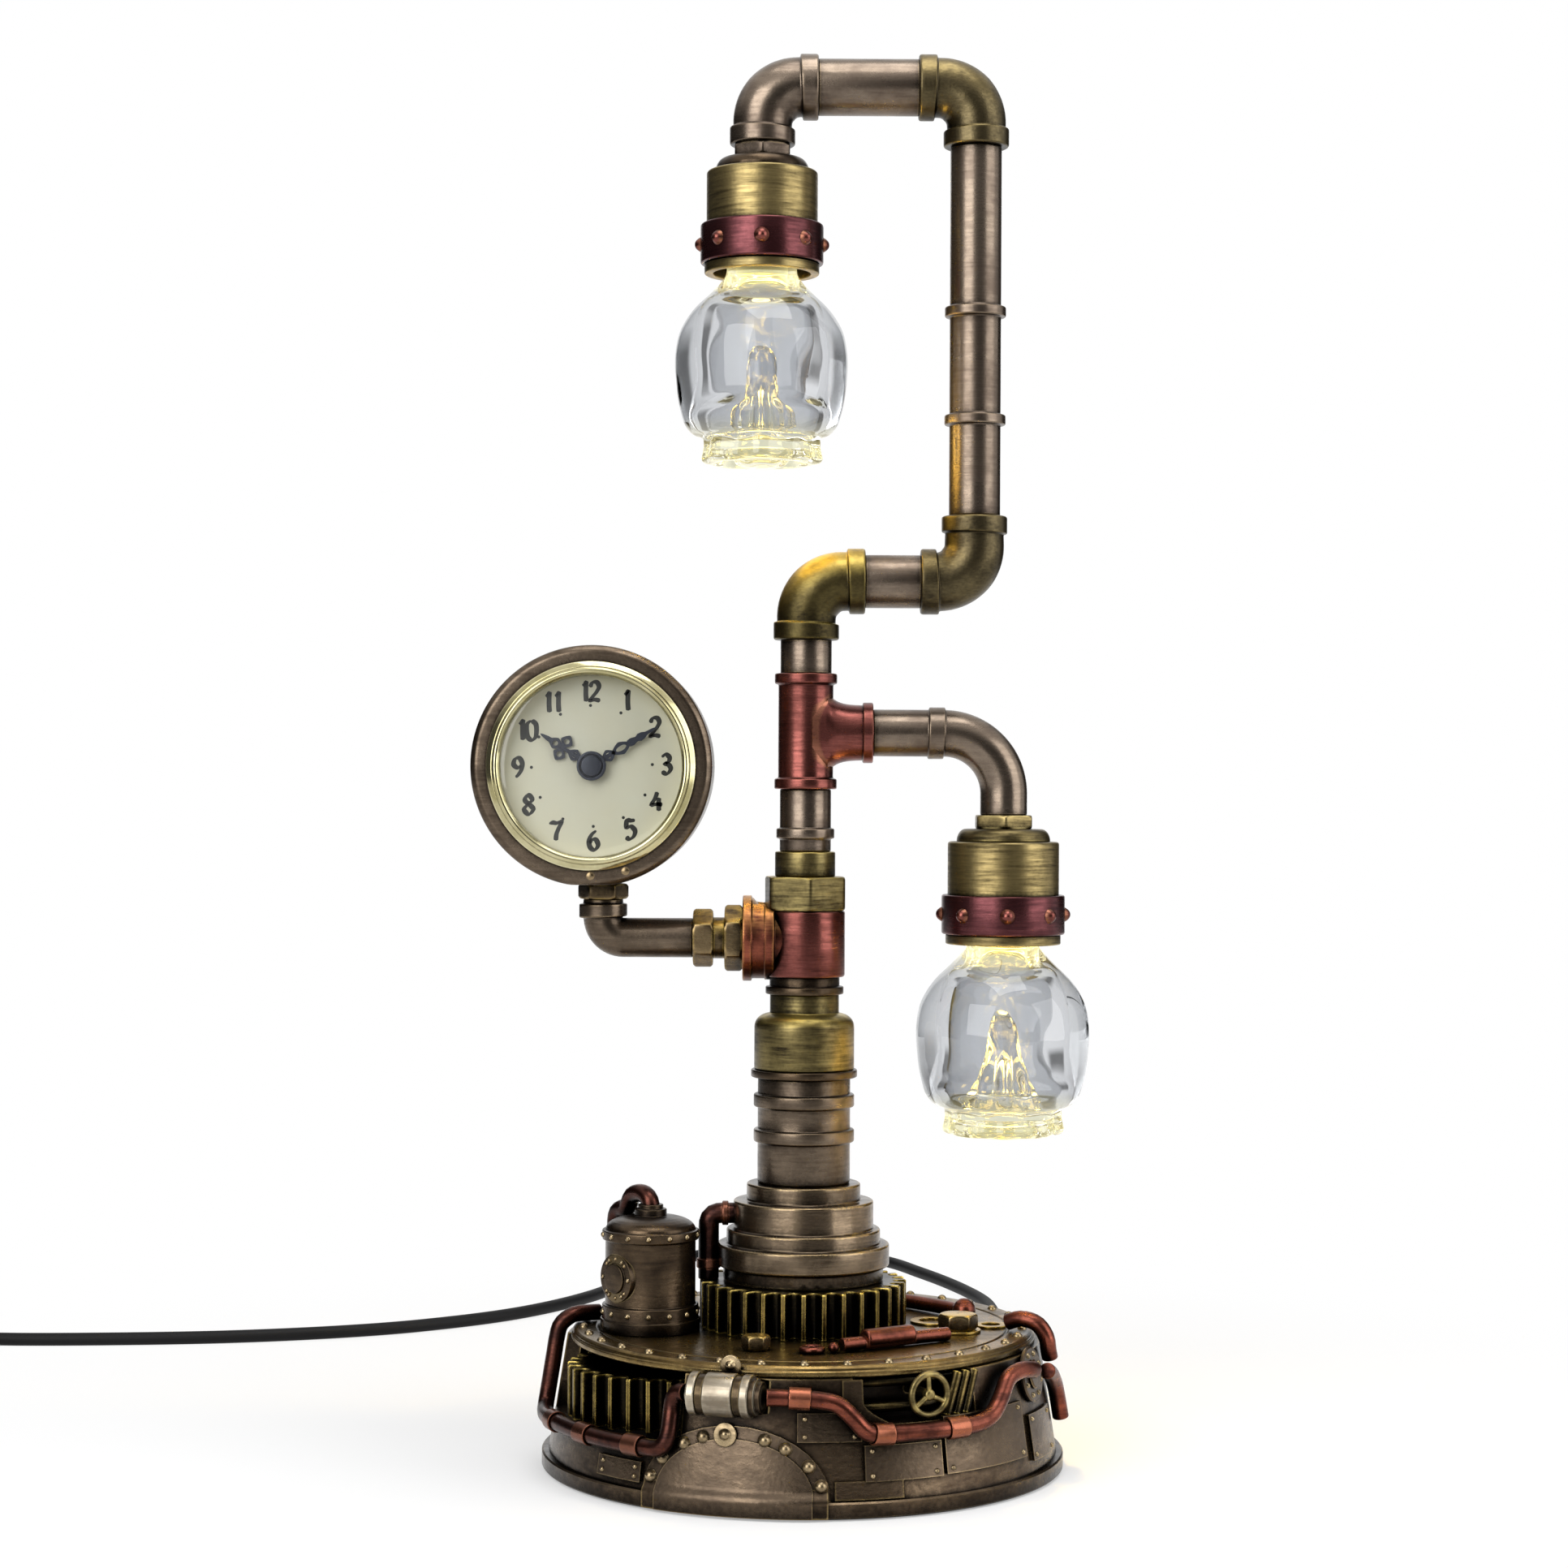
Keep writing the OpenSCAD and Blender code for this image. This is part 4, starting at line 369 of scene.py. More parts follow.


# wash-and-shade reach: the real wash and painted shade in corners; top: share of painted light from above on upper
# faces
castMetal = {"mottle": 14, "grain": 1.0, "speckle": 0.3, "washAndShadeReach": 8, "washAndShadeRange": (0.66, 1.16), "ragged": 0.3,
             "rub": 1.2, "rubShare": 0.5, "rough": 0.27, "brush": (0.08, 0.08, 1), "relief": 0.2, "deepest": 0.25,
             "metallic": 0.92, "patches": (0.38, 0.62), "top": 0.0}
castColours = ("deep", "body", "dark", "bright")
castFinishes = {
    # cast bronze with a brown wash: dull gold-grey on the highs, near black in the corners from the wash and painted
    # shade
    "bronze": ("cast_bronze", "#5a4e44 #807264 #110b08 #b09a78", {}),
    # lower down: darker, with more of the wash and painted shade
    "lowBronze": ("sooted_bronze", "#43392f #706253 #0d0806 #a8916a", {"washAndShadeReach": 10}),
    # the pedestal's steps: black below with the wash and painted shade under each step, rubbed bright along their edges
    "stepBronze": ("rubbed_step_bronze", "#453a2e #7c6c58 #080504 #d0b684",
                   {"washAndShadeReach": 13, "rub": 1.4, "rubShare": 0.85, "rough": 0.22}),
    # the same bronze on thin riveted plates, where the rubbing keeps close to the edge
    "plateBronze": ("hammered_bronze", "#4f4337 #655646 #0f0a06 #a58f6a",
                    {"rub": 0.5, "mottle": 16, "brush": (0.5, 0.5, 1), "grain": 1.4, "relief": 0.45}),
    # rivet heads, rubbed to a soft gold
    "rivetBronze": ("rubbed_rivets", "#75664e #a39070 #16100a #d6c296", {"rub": 0.3, "washAndShadeReach": 3, "mottle": 3}),
    # the drum: darker, with a yellow-brown cast
    "drumBronze": ("washed_bronze", "#3f3328 #74624e #0c0805 #b59c6a",
                   {"washAndShadeReach": 12, "rub": 0.8, "brush": (0.3, 0.3, 1), "grain": 1.6, "relief": 0.4}),
    # the tank and the darkest rings, almost black
    "tankBronze": ("blackened_bronze", "#2c231b #564736 #080503 #93805a",
                   {"washAndShadeReach": 10, "rub": 0.5, "rubShare": 0.35, "grain": 1.4, "relief": 0.4}),
    # antique brass, dry-brushed over black, on the sockets
    "brass": ("antique_brass", "#453b24 #9a885a #100c06 #c9b577", {"speckle": 0.55, "rough": 0.34, "washAndShadeReach": 11}),
    # the same brass with more wash, on a dome and the small wheel
    "darkBrass": ("sooted_brass", "#2f2817 #80714a #0c0904 #b8a466", {"speckle": 0.5, "rough": 0.34, "washAndShadeReach": 11}),
    # lowest elbow: dull brass, dark below, with gold painted on its upper faces as light from above
    "elbowBrass": ("brushed_elbow_brass", "#1a150b #6f623a #070503 #e0c463",
                   {"speckle": 0.2, "brush": (0.4, 0.4, 1), "mottle": 24, "grain": 0.7, "rough": 0.33, "washAndShadeReach": 20,
                    "patches": (0.34, 0.7), "top": 1.0, "rubShare": 0.3, "relief": 0.3}),
    # elbows of the riser: the same under more soot, with less gold painted on their upper faces as light from above
    "sootElbow": ("sooted_elbow_brass", "#1d1810 #6a5e42 #070503 #b79f5e",
                  {"brush": (0.4, 0.4, 1), "mottle": 18, "grain": 0.7, "rough": 0.33, "washAndShadeReach": 20,
                   "patches": (0.34, 0.7), "top": 0.45, "rubShare": 0.3, "relief": 0.3}),
    # the bell and the column's hexagon: the same, less of it gold, with gold painted on upper faces as light from above
    "bellBrass": ("brushed_bell_brass", "#1e180d #82744a #060402 #d2b85e",
                  {"speckle": 0.45, "mottle": 16, "rough": 0.33, "washAndShadeReach": 18, "patches": (0.36, 0.62), "top": 0.7,
                   "rubShare": 0.15}),
    # orange copper of the block's port, its upper faces painted gold as light from above
    "portCopper": ("orange_copper", "#3f1d18 #874a38 #100504 #e0a85c", {"washAndShadeReach": 10, "top": 0.9, "rubShare": 0.6}),
    # top plate: yellow-gold where it is rubbed
    "goldPlate": ("gilded_bronze", "#4a3a20 #8a7245 #0d0804 #e6cb86",
                  {"washAndShadeReach": 12, "rubShare": 0.9, "brush": (0.3, 0.3, 1)}),
    # bronze nuts of the clock's arm and bolts of the plate, gold painted on top as light from above
    "nutBronze": ("gold_topped_bronze", "#4a3d2c #8b7757 #100b06 #cfae55", {"washAndShadeReach": 9, "top": 0.8, "rubShare": 0.4}),
    # plum-red copper lacquer over the tee and the block
    "redCopper": ("red_copper", "#472420 #7f4841 #120605 #b07a5a", {"speckle": 0.45, "rubShare": 0.3, "washAndShadeReach": 13}),
    # the same lacquer over the bands of the lamp heads, darker
    "bandCopper": ("dark_red_copper", "#371b1e #693b3d #0f0505 #8d5a4e", {"speckle": 0.45, "rubShare": 0.25}),
    # dull copper on the small pipes of the base, rubbed orange on their backs
    "pipeCopper": ("rubbed_copper", "#41211a #7f4536 #120605 #b36f52", {"washAndShadeReach": 6, "mottle": 9, "rub": 0.8}),
    # the same copper, darkened as painted shade, on the pipe round the drum's left side and the tall pipes on the plate
    "darkCopper": ("shaded_copper", "#2a1714 #593329 #0d0504 #94604a", {"washAndShadeReach": 9, "mottle": 9, "rub": 0.8}),
    # black-washed gear with gold along its tooth edges
    "gear": ("black_gold_gear", "#2a2212 #77653a #030201 #d6bb62",
             {"rub": 0.8, "rubShare": 1.0, "washAndShadeRange": (0.85, 1.2)}),
    # nickel-silver of the capsule, pale grey
    "silver": ("nickel_silver", "#7b7162 #aca290 #17110c #d8cfbb", {"washAndShadeReach": 5, "rough": 0.3}),
    # polished gilt of the clock's bezel, bright and mirror-like
    "gilt": ("polished_gilt", "#a49c70 #c6bf98 #2c230f #f4ecc6",
             {"rough": 0.1, "washAndShadeReach": 2, "metallic": 0.9, "relief": 0.03, "speckle": 0.1})}
plainSurface = {"metallic": 0.0, "specular": 0.5, "deepest": 0.2}
plainColours = ("body", "second")
plainFinishes = {
    # turned steel of rod, screws and pins: fine grey with a soft shine
    "steel": ("turned_steel", "#8e9091 #a9abab",
              {"patch": 5, "grain": 0.6, "relief": 0.08, "rough": 0.32, "metallic": 0.9}),
    # powder-coated sheet of the bottom cover, dark with a fine orange-peel
    "darkSheet": ("powder_coated_sheet", "#2b2826 #34302d", {"patch": 6, "grain": 0.7, "relief": 0.3, "rough": 0.6}),
    # pressed wool felt, fibrous and without shine
    "felt": ("wool_felt", "#161616 #242424", {"patch": 1.2, "grain": 0.5, "relief": 0.9, "rough": 0.95}),
    # moulded ABS of the movement, driver and switch, half-matt black; the knob's is white
    "blackPlastic": ("moulded_abs", "#17171a #1f1f23", {"patch": 4, "grain": 0.6, "relief": 0.12, "rough": 0.45}),
    "whitePlastic": ("moulded_white_abs", "#d8d5cb #e3e0d6", {"patch": 5, "grain": 0.6, "relief": 0.08, "rough": 0.4}),
    # printed card dial, warm white with faint ageing
    "dialCard": ("printed_dial", "#d8d2c2 #d6ccb6", {"patch": 9, "grain": 0.8, "relief": 0.03, "rough": 0.5}),
    # dial ink, brown-black and matt
    "ink": ("dial_ink", "#14110f #241f1c", {"patch": 1.5, "grain": 0.4, "relief": 0.05, "rough": 0.6}),
    # blued steel hands, almost black
    "handSteel": ("blued_steel", "#2b2c36 #3a3b47",
                  {"patch": 2, "grain": 0.5, "relief": 0.05, "rough": 0.35, "metallic": 0.5}),
    # soft rubber of the grommets and the cord's gland, matt black
    "rubber": ("nitrile_rubber", "#0e0e0f #171719", {"patch": 2, "grain": 0.5, "relief": 0.2, "rough": 0.6}),
    # extruded PVC of the mains cord and the moulded plug, smooth with a dull shine
    "cordPvc": ("extruded_pvc", "#070708 #0d0d0f",
                {"patch": 3, "grain": 0.9, "relief": 0.1, "rough": 0.55, "specular": 0.2})}
finishes = {}
for make, table, common, keys in ((agedMetal, castFinishes, castMetal, castColours),
                                  (plainFinish, plainFinishes, plainSurface, plainColours)):
    for finish, (name, colours, own) in table.items():
        finishes[finish] = make(name, {**common, **dict(zip(keys, colours.split())), **own})


def blownGlass(name, spec):
    # clear pressed glass, grey-blue, with painted shade darker where it is seen edge on; where the lamp lights it, a
    # painted warm tint and glow
    material, tree, shader = newMaterial(name)
    rim = addNode(tree, "LayerWeight", "Facing", {"Blend": spec["blend"]})
    colour = addNode(tree, "Mix", "Result", {"Factor": rim, "A": linear(spec["clear"]), "B": linear(spec["edge"])},
                     data_type="RGBA")
    paintedGlow = addNode(tree, "Attribute", "Fac", attribute_name="paintedGlow")
    tint = addNode(tree, "Mix", "Result", {"Factor": paintedGlow, "A": colour, "B": linear(spec["paintedGlowTint"])}, data_type="RGBA")
    place = addNode(tree, "TexCoord", "Object")
    wave = addNode(tree, "TexNoise", "Fac", {"Vector": place, "Scale": 1 / (spec["wave"] * mm), "Detail": 1.0})
    bump = addNode(tree, "Bump", "Normal", {"Height": wave, "Strength": 0.3, "Distance": spec["waveDeep"] * mm})
    # painted glow: the glass emits where the lamp lights it, more where it is seen edge on
    edge = addNode(tree, "Math", 0, {0: rim, 1: spec["edgeGlow"], 2: spec["glow"]}, operation="MULTIPLY_ADD")
    glow = addNode(tree, "Math", 0, {0: paintedGlow, 1: edge}, operation="MULTIPLY")
    feed(tree, shader, {"Base Color": tint, "Normal": bump, "Emission Color": linear(spec["light"]),
                        "Emission Strength": glow, "Transmission Weight": 1.0, "Roughness": 0.015, "IOR": 1.46})
    return material


def flatGlass(name):
    # thin float glass of the clock: nearly all light goes straight through, a little is mirrored by its outer face
    material, tree, shader = newMaterial(name)
    tree.nodes.remove(shader)
    clear = addNode(tree, "BsdfTransparent", 0, {"Color": linear("#fbfdfc")})
    mirror = addNode(tree, "BsdfGlossy", 0, {"Color": linear("#ffffff"), "Roughness": 0.03})
    rim = addNode(tree, "Fresnel", "Fac", {"IOR": 1.5})
    back = addNode(tree, "NewGeometry", "Backfacing")
    outer = addNode(tree, "Mix", "Result", {"Factor": back, "A": rim, "B": 0.0}, data_type="FLOAT")
    both = addNode(tree, "MixShader", 0, {0: outer, 1: clear, 2: mirror})
    feed(tree, tree.nodes["Material Output"], {"Surface": both})
    return material


def litDiode(name):
    # phosphor cap of the LED, warm white
    material, tree, shader = newMaterial(name)
    place = addNode(tree, "TexCoord", "Object")
    noise = addNode(tree, "TexNoise", "Fac", {"Vector": place, "Scale": 1 / (3 * mm)})
    colour = addNode(tree, "Mix", "Result", {"Factor": noise, "A": linear("#fff0c4"), "B": linear("#ffe39a")},
                     data_type="RGBA")
    feed(tree, shader, {"Base Color": colour, "Emission Color": colour, "Emission Strength": 2.5})
    return material


# edge is the painted shade of glass seen edge on; the tint, glow and edge glow paint the lamp's light into the glass
glassSpec = {"blend": 0.35, "clear": "#dbdde0", "edge": "#596066", "paintedGlowTint": "#c8cab8", "light": "#fff0b4",
             "glow": 0.06, "edgeGlow": 0.3, "wave": 14, "waveDeep": 1.5}
finishes["shadeGlass"] = blownGlass("pressed_glass", glassSpec)
finishes["lensGlass"] = flatGlass("float_glass")
finishes["led"] = litDiode("led_phosphor")
print("finishes made:", len(finishes))

# mains cord, made first: out of the gland, round behind the base, then a tied coil off to the left
cordSpec = {"radius": 2.5, "exit": (30, 100, 11.4), "length": 1.8, "plugLead": 5,
            "route": [(30, 100, 11.4), (30, 112, 11.4), (32, 127, 10), (37, 143, 7.6), (45, 161, 4.8), (55, 182, 2.9),
                      (66, 206, 2.5), (75, 234, 2.5), (79, 263, 2.5), (78, 293, 2.5), (72, 321, 2.5), (63, 350, 2.5),
                      (53, 376, 2.5), (43, 400, 2.5), (28, 422, 2.5), (6, 436, 2.5), (-20, 436, 2.5), (-43, 422, 2.5),
                      (-58, 398, 2.5), (-68, 368, 2.5), (-75, 340, 2.5), (-83, 314, 2.5), (-94, 291, 2.5),
                      (-107, 271, 2.5), (-121, 255, 2.5), (-139, 240, 2.5), (-161, 226, 2.5), (-190, 214, 2.5),
                      (-224, 205, 2.5), (-262, 200, 2.5), (-300, 198, 2.5), (-330, 198, 3), (-347, 198, 3.4)],
            "coil": {"centre": (-352, 161.5375), "inner": 21.5, "pitch": 5.7, "turns": 2.625, "low": 3.4, "step": 7.5}}
coil = cordSpec["coil"]
half = 360 * coil["turns"]
t = np.arange(0, 2 * half + 1, coil["step"])
reach = coil["inner"] + coil["pitch"] * np.abs(t - half) / 360
# it winds in below, climbs one pitch over half a turn, and winds out above
climb = coil["low"] + coil["pitch"] * eased((t - half + 90) / 180)
coilLine = ringed(reach, climb, (90 + t) * deg) + (*coil["centre"], 0)
plugStart = coilLine[-1] - (0, cordSpec["plugLead"], 0)
cordLine = np.concatenate([smoothRoute(cordSpec["route"], 6), coilLine, plugStart[None]])
cord = makePiece("mains_cord", rod(cordLine, cordSpec["radius"], columns=16, soft=0.3, step=3.0), "cordPvc",
                 ("cord_run", "cord_coil"))

# strap of the coil: a rounded loop round the bundle
tieSpec = {"angle": 150, "width": 7, "radii": (21.41, 38.69), "half": 5.45, "middle": 6.25, "bow": 2.5,
           "walls": (0.02, 0.75)}
(near, far), half = tieSpec["radii"], tieSpec["half"]
line = softened([(near, -half), (far, -half), (far, half), (near, half)], tieSpec["bow"], steps=8)
outwards = unit(line - line.mean(0))
inner, outer = tieSpec["walls"]
rows = [np.insert(line + outwards * push, 1, y * tieSpec["width"] / 2, axis=1)
        for push, y in ((inner, 1), (inner, -1), (outer, -1), (outer, 1))]
strap = moved(surface(np.stack(rows) + (0, 0, tieSpec["middle"])), spin("z", tieSpec["angle"]), (*coil["centre"], 0))
tie = makePiece("cord_strap", strap, "rubber", ("cord_tie",))

# two-pin plug: a ribbed neck that swells into a flat waisted body
plugSpec = {"neck": 22, "long": 36, "wide": 28, "thick": 18.2, "neckRadius": 3.3, "flare": 2.1, "ribs": 7,
            "ribDeep": 0.35, "square": 0.55, "swellRate": 3}
whole = plugSpec["neck"] + plugSpec["long"]
neckShare = plugSpec["neck"] / whole
s = np.linspace(0, 1, 60)[:, None]
angle = around(48)
swell = eased((s - neckShare) / (1 - neckShare) * plugSpec["swellRate"])
ribs = plugSpec["ribDeep"] * np.clip(np.sin(s / neckShare * plugSpec["ribs"] * math.pi), 0, 1) * (s < neckShare)
neck = plugSpec["neckRadius"] + plugSpec["flare"] * np.clip(s / neckShare, 0, 1) - ribs
wide, thick = (neck * (1 - swell) + plugSpec[key] / 2 * swell for key in ("wide", "thick"))
power = 1 - plugSpec["square"] * swell  # from a circle to a rounded rectangle
boxy = lambda v: np.sign(v) * np.abs(v) ** power
grid = np.stack([wide * boxy(np.cos(angle)), thick * boxy(np.sin(angle)), s * whole + 0 * angle], -1)
ends = [grid[0] * [0, 0, 1], grid[0] * [0.8, 0.8, 1], *grid, grid[-1] * [0.93, 0.93, 1], grid[-1] * [0, 0, 1]]
plugShape = moved(surface(np.stack(ends), wrapRows=False), spin("x", 90), plugStart)
plug = makePiece("plug_moulding", plugShape, "cordPvc", ("plug_body",))

# gland in the wall, as (radius, distance past the wall), with a strain relief of tapering ribs
glandSpec = {"at": (30, 0, 11.4), "wall": 74.24, "tip": [(3.4, 99.9), (0, 99.9)],
             "body": [(0, -11.7), (6.6, -11.7), (6.6, -9.7), (4.85, -9.7), (4.85, 3.4), (6.5, 3.4), (6.5, 5.6),
                      (5, 6.4)],
             "ribs": 5, "firstRib": 8, "ribPitch": 3.1, "rib": 4.9, "ribTaper": 0.3}
gland = [(r, glandSpec["wall"] + y) for r, y in glandSpec["body"]]
for k in range(glandSpec["ribs"]):
    y = glandSpec["wall"] + glandSpec["firstRib"] + glandSpec["ribPitch"] * k
    r = glandSpec["rib"] - glandSpec["ribTaper"] * k
    gland += [(r, y), (r - 0.05, y + 1.4), (r - 0.75, y + 1.6), (r - 0.8, y + 2.6)]
glandShape = turned(gland + glandSpec["tip"], 0.3, 40, solid=True)
makePiece("cord_gland", moved(glandShape, spin("x", -90), glandSpec["at"]), "rubber", ("strain_relief",))
print("cord, strap, plug and gland made")

# column on its tie rod: outlines as (radius, height); the pedestal is given as (radius, height of the step)
columnSpec = {"tieBore": 5.15, "bore": 5, "pedestalFoot": 58.5,
              "pedestal": [(25.6, 4.7), (27.5, 7.1), (24.6, 4.7), (22.4, 9), (18.2, 5.5)],
              "lowerPipe": [(14.8, 89.5), (14.8, 102.6), (16.1, 102.7), (16.1, 106.7), (14.8, 106.8), (14.8, 113.8),
                            (16.1, 113.9), (16.1, 117.9), (14.8, 118), (14.8, 123.3)],
              "bellRim": [(17, 123.3), (17, 125.8)],
              "bell": [(16, 125.8), *shoulder(11.05, 139.5, 4.95, 4.2), (11.05, 149.9)],
              "collars": [(12.5, 149.9), (12.5, 152.3), (11.2, 152.4), (11.2, 155.4)],
              "block": [(12.85, 155.4), (12.85, 176.6)],
              "hexagon": (14, 10.7), "hexagonFoot": 176.7, "hexagonTurn": 37,
              "sleeve": [(9.65, 187.4), (9.65, 195.4)],
              "upperPipe": [(8.2, 195.4), (8.2, 199.5), (9.3, 199.6), (9.3, 202.8), (8.2, 202.9), (8.2, 215.4)],
              "port": [(13.7, 0), (13.7, 2.9), (12.9, 3), (12.9, 7), (13.3, 7.1), (13.3, 10.1), (10.7, 10.2),
                       (10.7, 13.9)],
              "portAt": (-19.9, 0, 167.6), "portCut": 14.4}
tieBore, bore = columnSpec["tieBore"], columnSpec["bore"]
level = spin("y", 90)  # lays a shape's z axis along x
stepTops = columnSpec["pedestalFoot"] + np.cumsum([h for r, h in columnSpec["pedestal"]])
pedestal = [p for (r, h), top in zip(columnSpec["pedestal"], stepTops) for p in ((r, top - h), (r, top))]
for name, outline, soft, columns, finish, slotName, nodes in (
        ("stepped_pedestal", pedestal, 0.8, 128, "stepBronze", "bronze", ("pedestal",)),
        ("lower_column_pipe", columnSpec["lowerPipe"], 0.7, 112, "lowBronze", "bronze", ("lower_pipe",)),
        ("bell_reducer", columnSpec["bell"], 0.6, 112, "bellBrass", "antique_brass", ("bell_coupling",)),
        ("bell_rim", columnSpec["bellRim"], 0.6, 112, "tankBronze", "antique_brass", ()),
        ("valve_block_body", columnSpec["block"], 0.9, 96, "redCopper", "copper_red", ("valve_block",)),
        ("valve_block_collars", columnSpec["collars"], 0.4, 96, "tankBronze", "copper_red", ()),
        ("upper_column_pipe", columnSpec["upperPipe"], 0.6, 80, "bronze", "bronze", ("column_pipe",))):
    makePiece(name, lathed(outline, tieBore, soft, columns), finish, nodes)
points, quads = moved(lathed(columnSpec["port"], bore, 0.5, 96), level, columnSpec["portAt"])
nearHex = np.hypot(points[:, 0], points[:, 1]) < columnSpec["portCut"]
blockTop = columnSpec["block"][1][1]  # the port is cut away under the hexagon
points[:, 2] = np.where(nearHex, np.minimum(points[:, 2], blockTop), points[:, 2])
makePiece("valve_block_port", (points, quads), "portCopper")
hexagon = hexNut(*columnSpec["hexagon"], tieBore, columnSpec["hexagonTurn"])
hexagon = moved(hexagon, to=(0, 0, columnSpec["hexagonFoot"]))
makePiece("hexagon_reducer", joined(hexagon, lathed(columnSpec["sleeve"], tieBore, 0.6, 80)), "bellBrass",
          ("hex_reducer",))

# tee: its branch, as (distance out, radius), stays level with the stem in front and flares above and below, where
# the two meet in a fillet that fades outwards
teeSpec = {"stem": [(10, 215.4), (10, 218.7), (8.8, 218.9), (8.8, 248.9), (10, 249.1), (10, 252.4)], "level": 233.5,
           "branch": [(2, 8.8), (4, 8.8), (6, 8.8), (7, 8.8), (8, 8.8), (9, 8.8), (10, 8.8), (11, 8.8), (12, 8.8),
                      (13, 8.8), (14, 8.8), (16, 8.8), (18.1, 8.8)],
           "collar": [(18.2, 9.4), (18.5, 9.7), (21.2, 9.7), (21.5, 9.4), (21.5, 5.2), (2, 5.2)],
           "fillet": 4.2, "filletFrom": 7, "filletFade": 2.6}
angle = around(96)
x, wall = np.array(teeSpec["branch"] + teeSpec["collar"]).T[..., None]
past = np.clip(x - teeSpec["filletFrom"], 0, None)
fillet = teeSpec["fillet"] * np.sin(angle) ** 2 * np.exp(-past / teeSpec["filletFade"])
wall = wall + np.where(np.arange(len(x))[:, None] < len(teeSpec["branch"]), fillet, 0)
flare = surface(np.stack([x + 0 * angle, wall * np.cos(angle), teeSpec["level"] + wall * np.sin(angle)], -1))
makePiece("tee_fitting", joined(lathed(teeSpec["stem"], tieBore, 0.6, 80), flare), "redCopper", ("tee",))

# short pipes, as (radius, length, direction, place), and the elbows between them
nippleSpec = {"upright": (8.2, 10.7, np.eye(3), (0, 0, 252.4)), "level": (8.5, 17.7, level, (18.8, 0, 282)),
              "top": (9, 32.1, level, (3.1, 0, 440.3))}
nipples = [moved(lathed([(r, 0), (r, long)], bore, 0.3, 80), turn, place)
           for r, long, turn, place in nippleSpec.values()]
makePiece("short_pipes", joined(*nipples), "bronze", ("pipe_nipples",))
elbowSpec = {"body": 9.4, "flange": 10.5, "flangeLong": 5.4, "bend": 11.8, "belly": 0.35,
             "elbow_1": ([(0, 0, 263.1), (0, 0, 282), (18.8, 0, 282)], "elbowBrass", "antique_brass"),
             "elbow_2": ([(36.5, 0, 282), (53.7, 0, 282), (53.7, 0, 303)], "sootElbow", "antique_brass"),
             "elbow_3": ([(53.7, 0, 421.2), (53.7, 0, 440.3), (35.2, 0, 440.3)], "sootElbow", "antique_brass"),
             "elbow_4": ([(3.1, 0, 440.3), (-14.8, 0, 440.3), (-14.8, 0, 421.5)], "bronze", "bronze")}
r, f, w = elbowSpec["body"], elbowSpec["flange"], elbowSpec["flangeLong"]
for node in ("elbow_1", "elbow_2", "elbow_3", "elbow_4"):
    corners, finish, slotName = elbowSpec[node]
    path = bentLine(corners, elbowSpec["bend"])
    end = lengths(path)[-1]
    wall = [(0, bore), (0, f), (w, f), (w + 0.1, r), (end / 2, r + elbowSpec["belly"]), (end - w - 0.1, r),
            (end - w, f), (end, f), (end, bore)]
    makePiece(node + "_casting", swept(path, softened(wall, 0.9), 64, step=0.9), finish, (node,))
riserSpec = {"at": (53.7, 0, 0),
             "outline": [(8.2, 303), (8.2, 332.1), (9.8, 332.2), (9.8, 335.4), (8.2, 335.5), (8.2, 366.7), (9.8, 366.8),
                         (9.8, 370), (8.2, 370.1), (8.2, 421.2)]}
makePiece("riser", moved(lathed(riserSpec["outline"], bore, 0.6, 80), to=riserSpec["at"]), "bronze",
          ("riser_pipe",))
armSpec = {"corners": [(21.5, 0, 233.5), (63.5, 0, 233.5), (63.5, 0, 207.4)], "bend": 19.2, "radius": 7.5,
           "collar": [(17.7, 7.5), (17.8, 8.3), (22.8, 8.3), (22.9, 7.5)]}
armPath = bentLine(armSpec["corners"], armSpec["bend"], 24)
end, r = lengths(armPath)[-1], armSpec["radius"]
arm = [(0, bore), (0, r), *armSpec["collar"], (end, r), (end, bore)]
makePiece("lower_arm", swept(armPath, softened(arm, 0.5), 64, step=0.9), "bronze", ("branch_pipe",))
print("column and arms made")

# lamp heads: the upper one on the long arm, the lower one on the branch; heights run down from the nut's top
headSpec = {"places": [(-14.8, 0, 421.5), (63.5, 0, 207.4)], "nut": (10.2, 4.4), "rimDrop": 41.3,
            "socket": [(5, -12.7), (15.6, -12.7), (15.6, -41.3), (18.4, -41.3), (18.4, -38.3), (17.8, -38.25),
                       (17.8, -9), (17.2, -8.5), (5, -8.5)],
            "dome": [(5, -8.5), *shoulder(12, -8.5, 3, 4.1, 80), (5, -4.4)],
            "band": [(17.95, -38.1), (19.7, -38.1), (19.7, -25.5), (17.95, -25.5)],
            "rivets": 8, "rivet": (2.4, 1.9), "rivetAt": (19.65, -31.8)}
heads = headSpec["places"]
nut = moved(hexNut(*headSpec["nut"], bore, 30), to=(0, 0, -headSpec["nut"][1]))
dome = turned(headSpec["dome"], 0.5, 112)
spots = np.arange(headSpec["rivets"]) * 360 / headSpec["rivets"]
rivets = domes(*headSpec["rivet"], ringed(*headSpec["rivetAt"], spots * deg),
               [spin("z", v) @ level for v in spots], 7, 24)
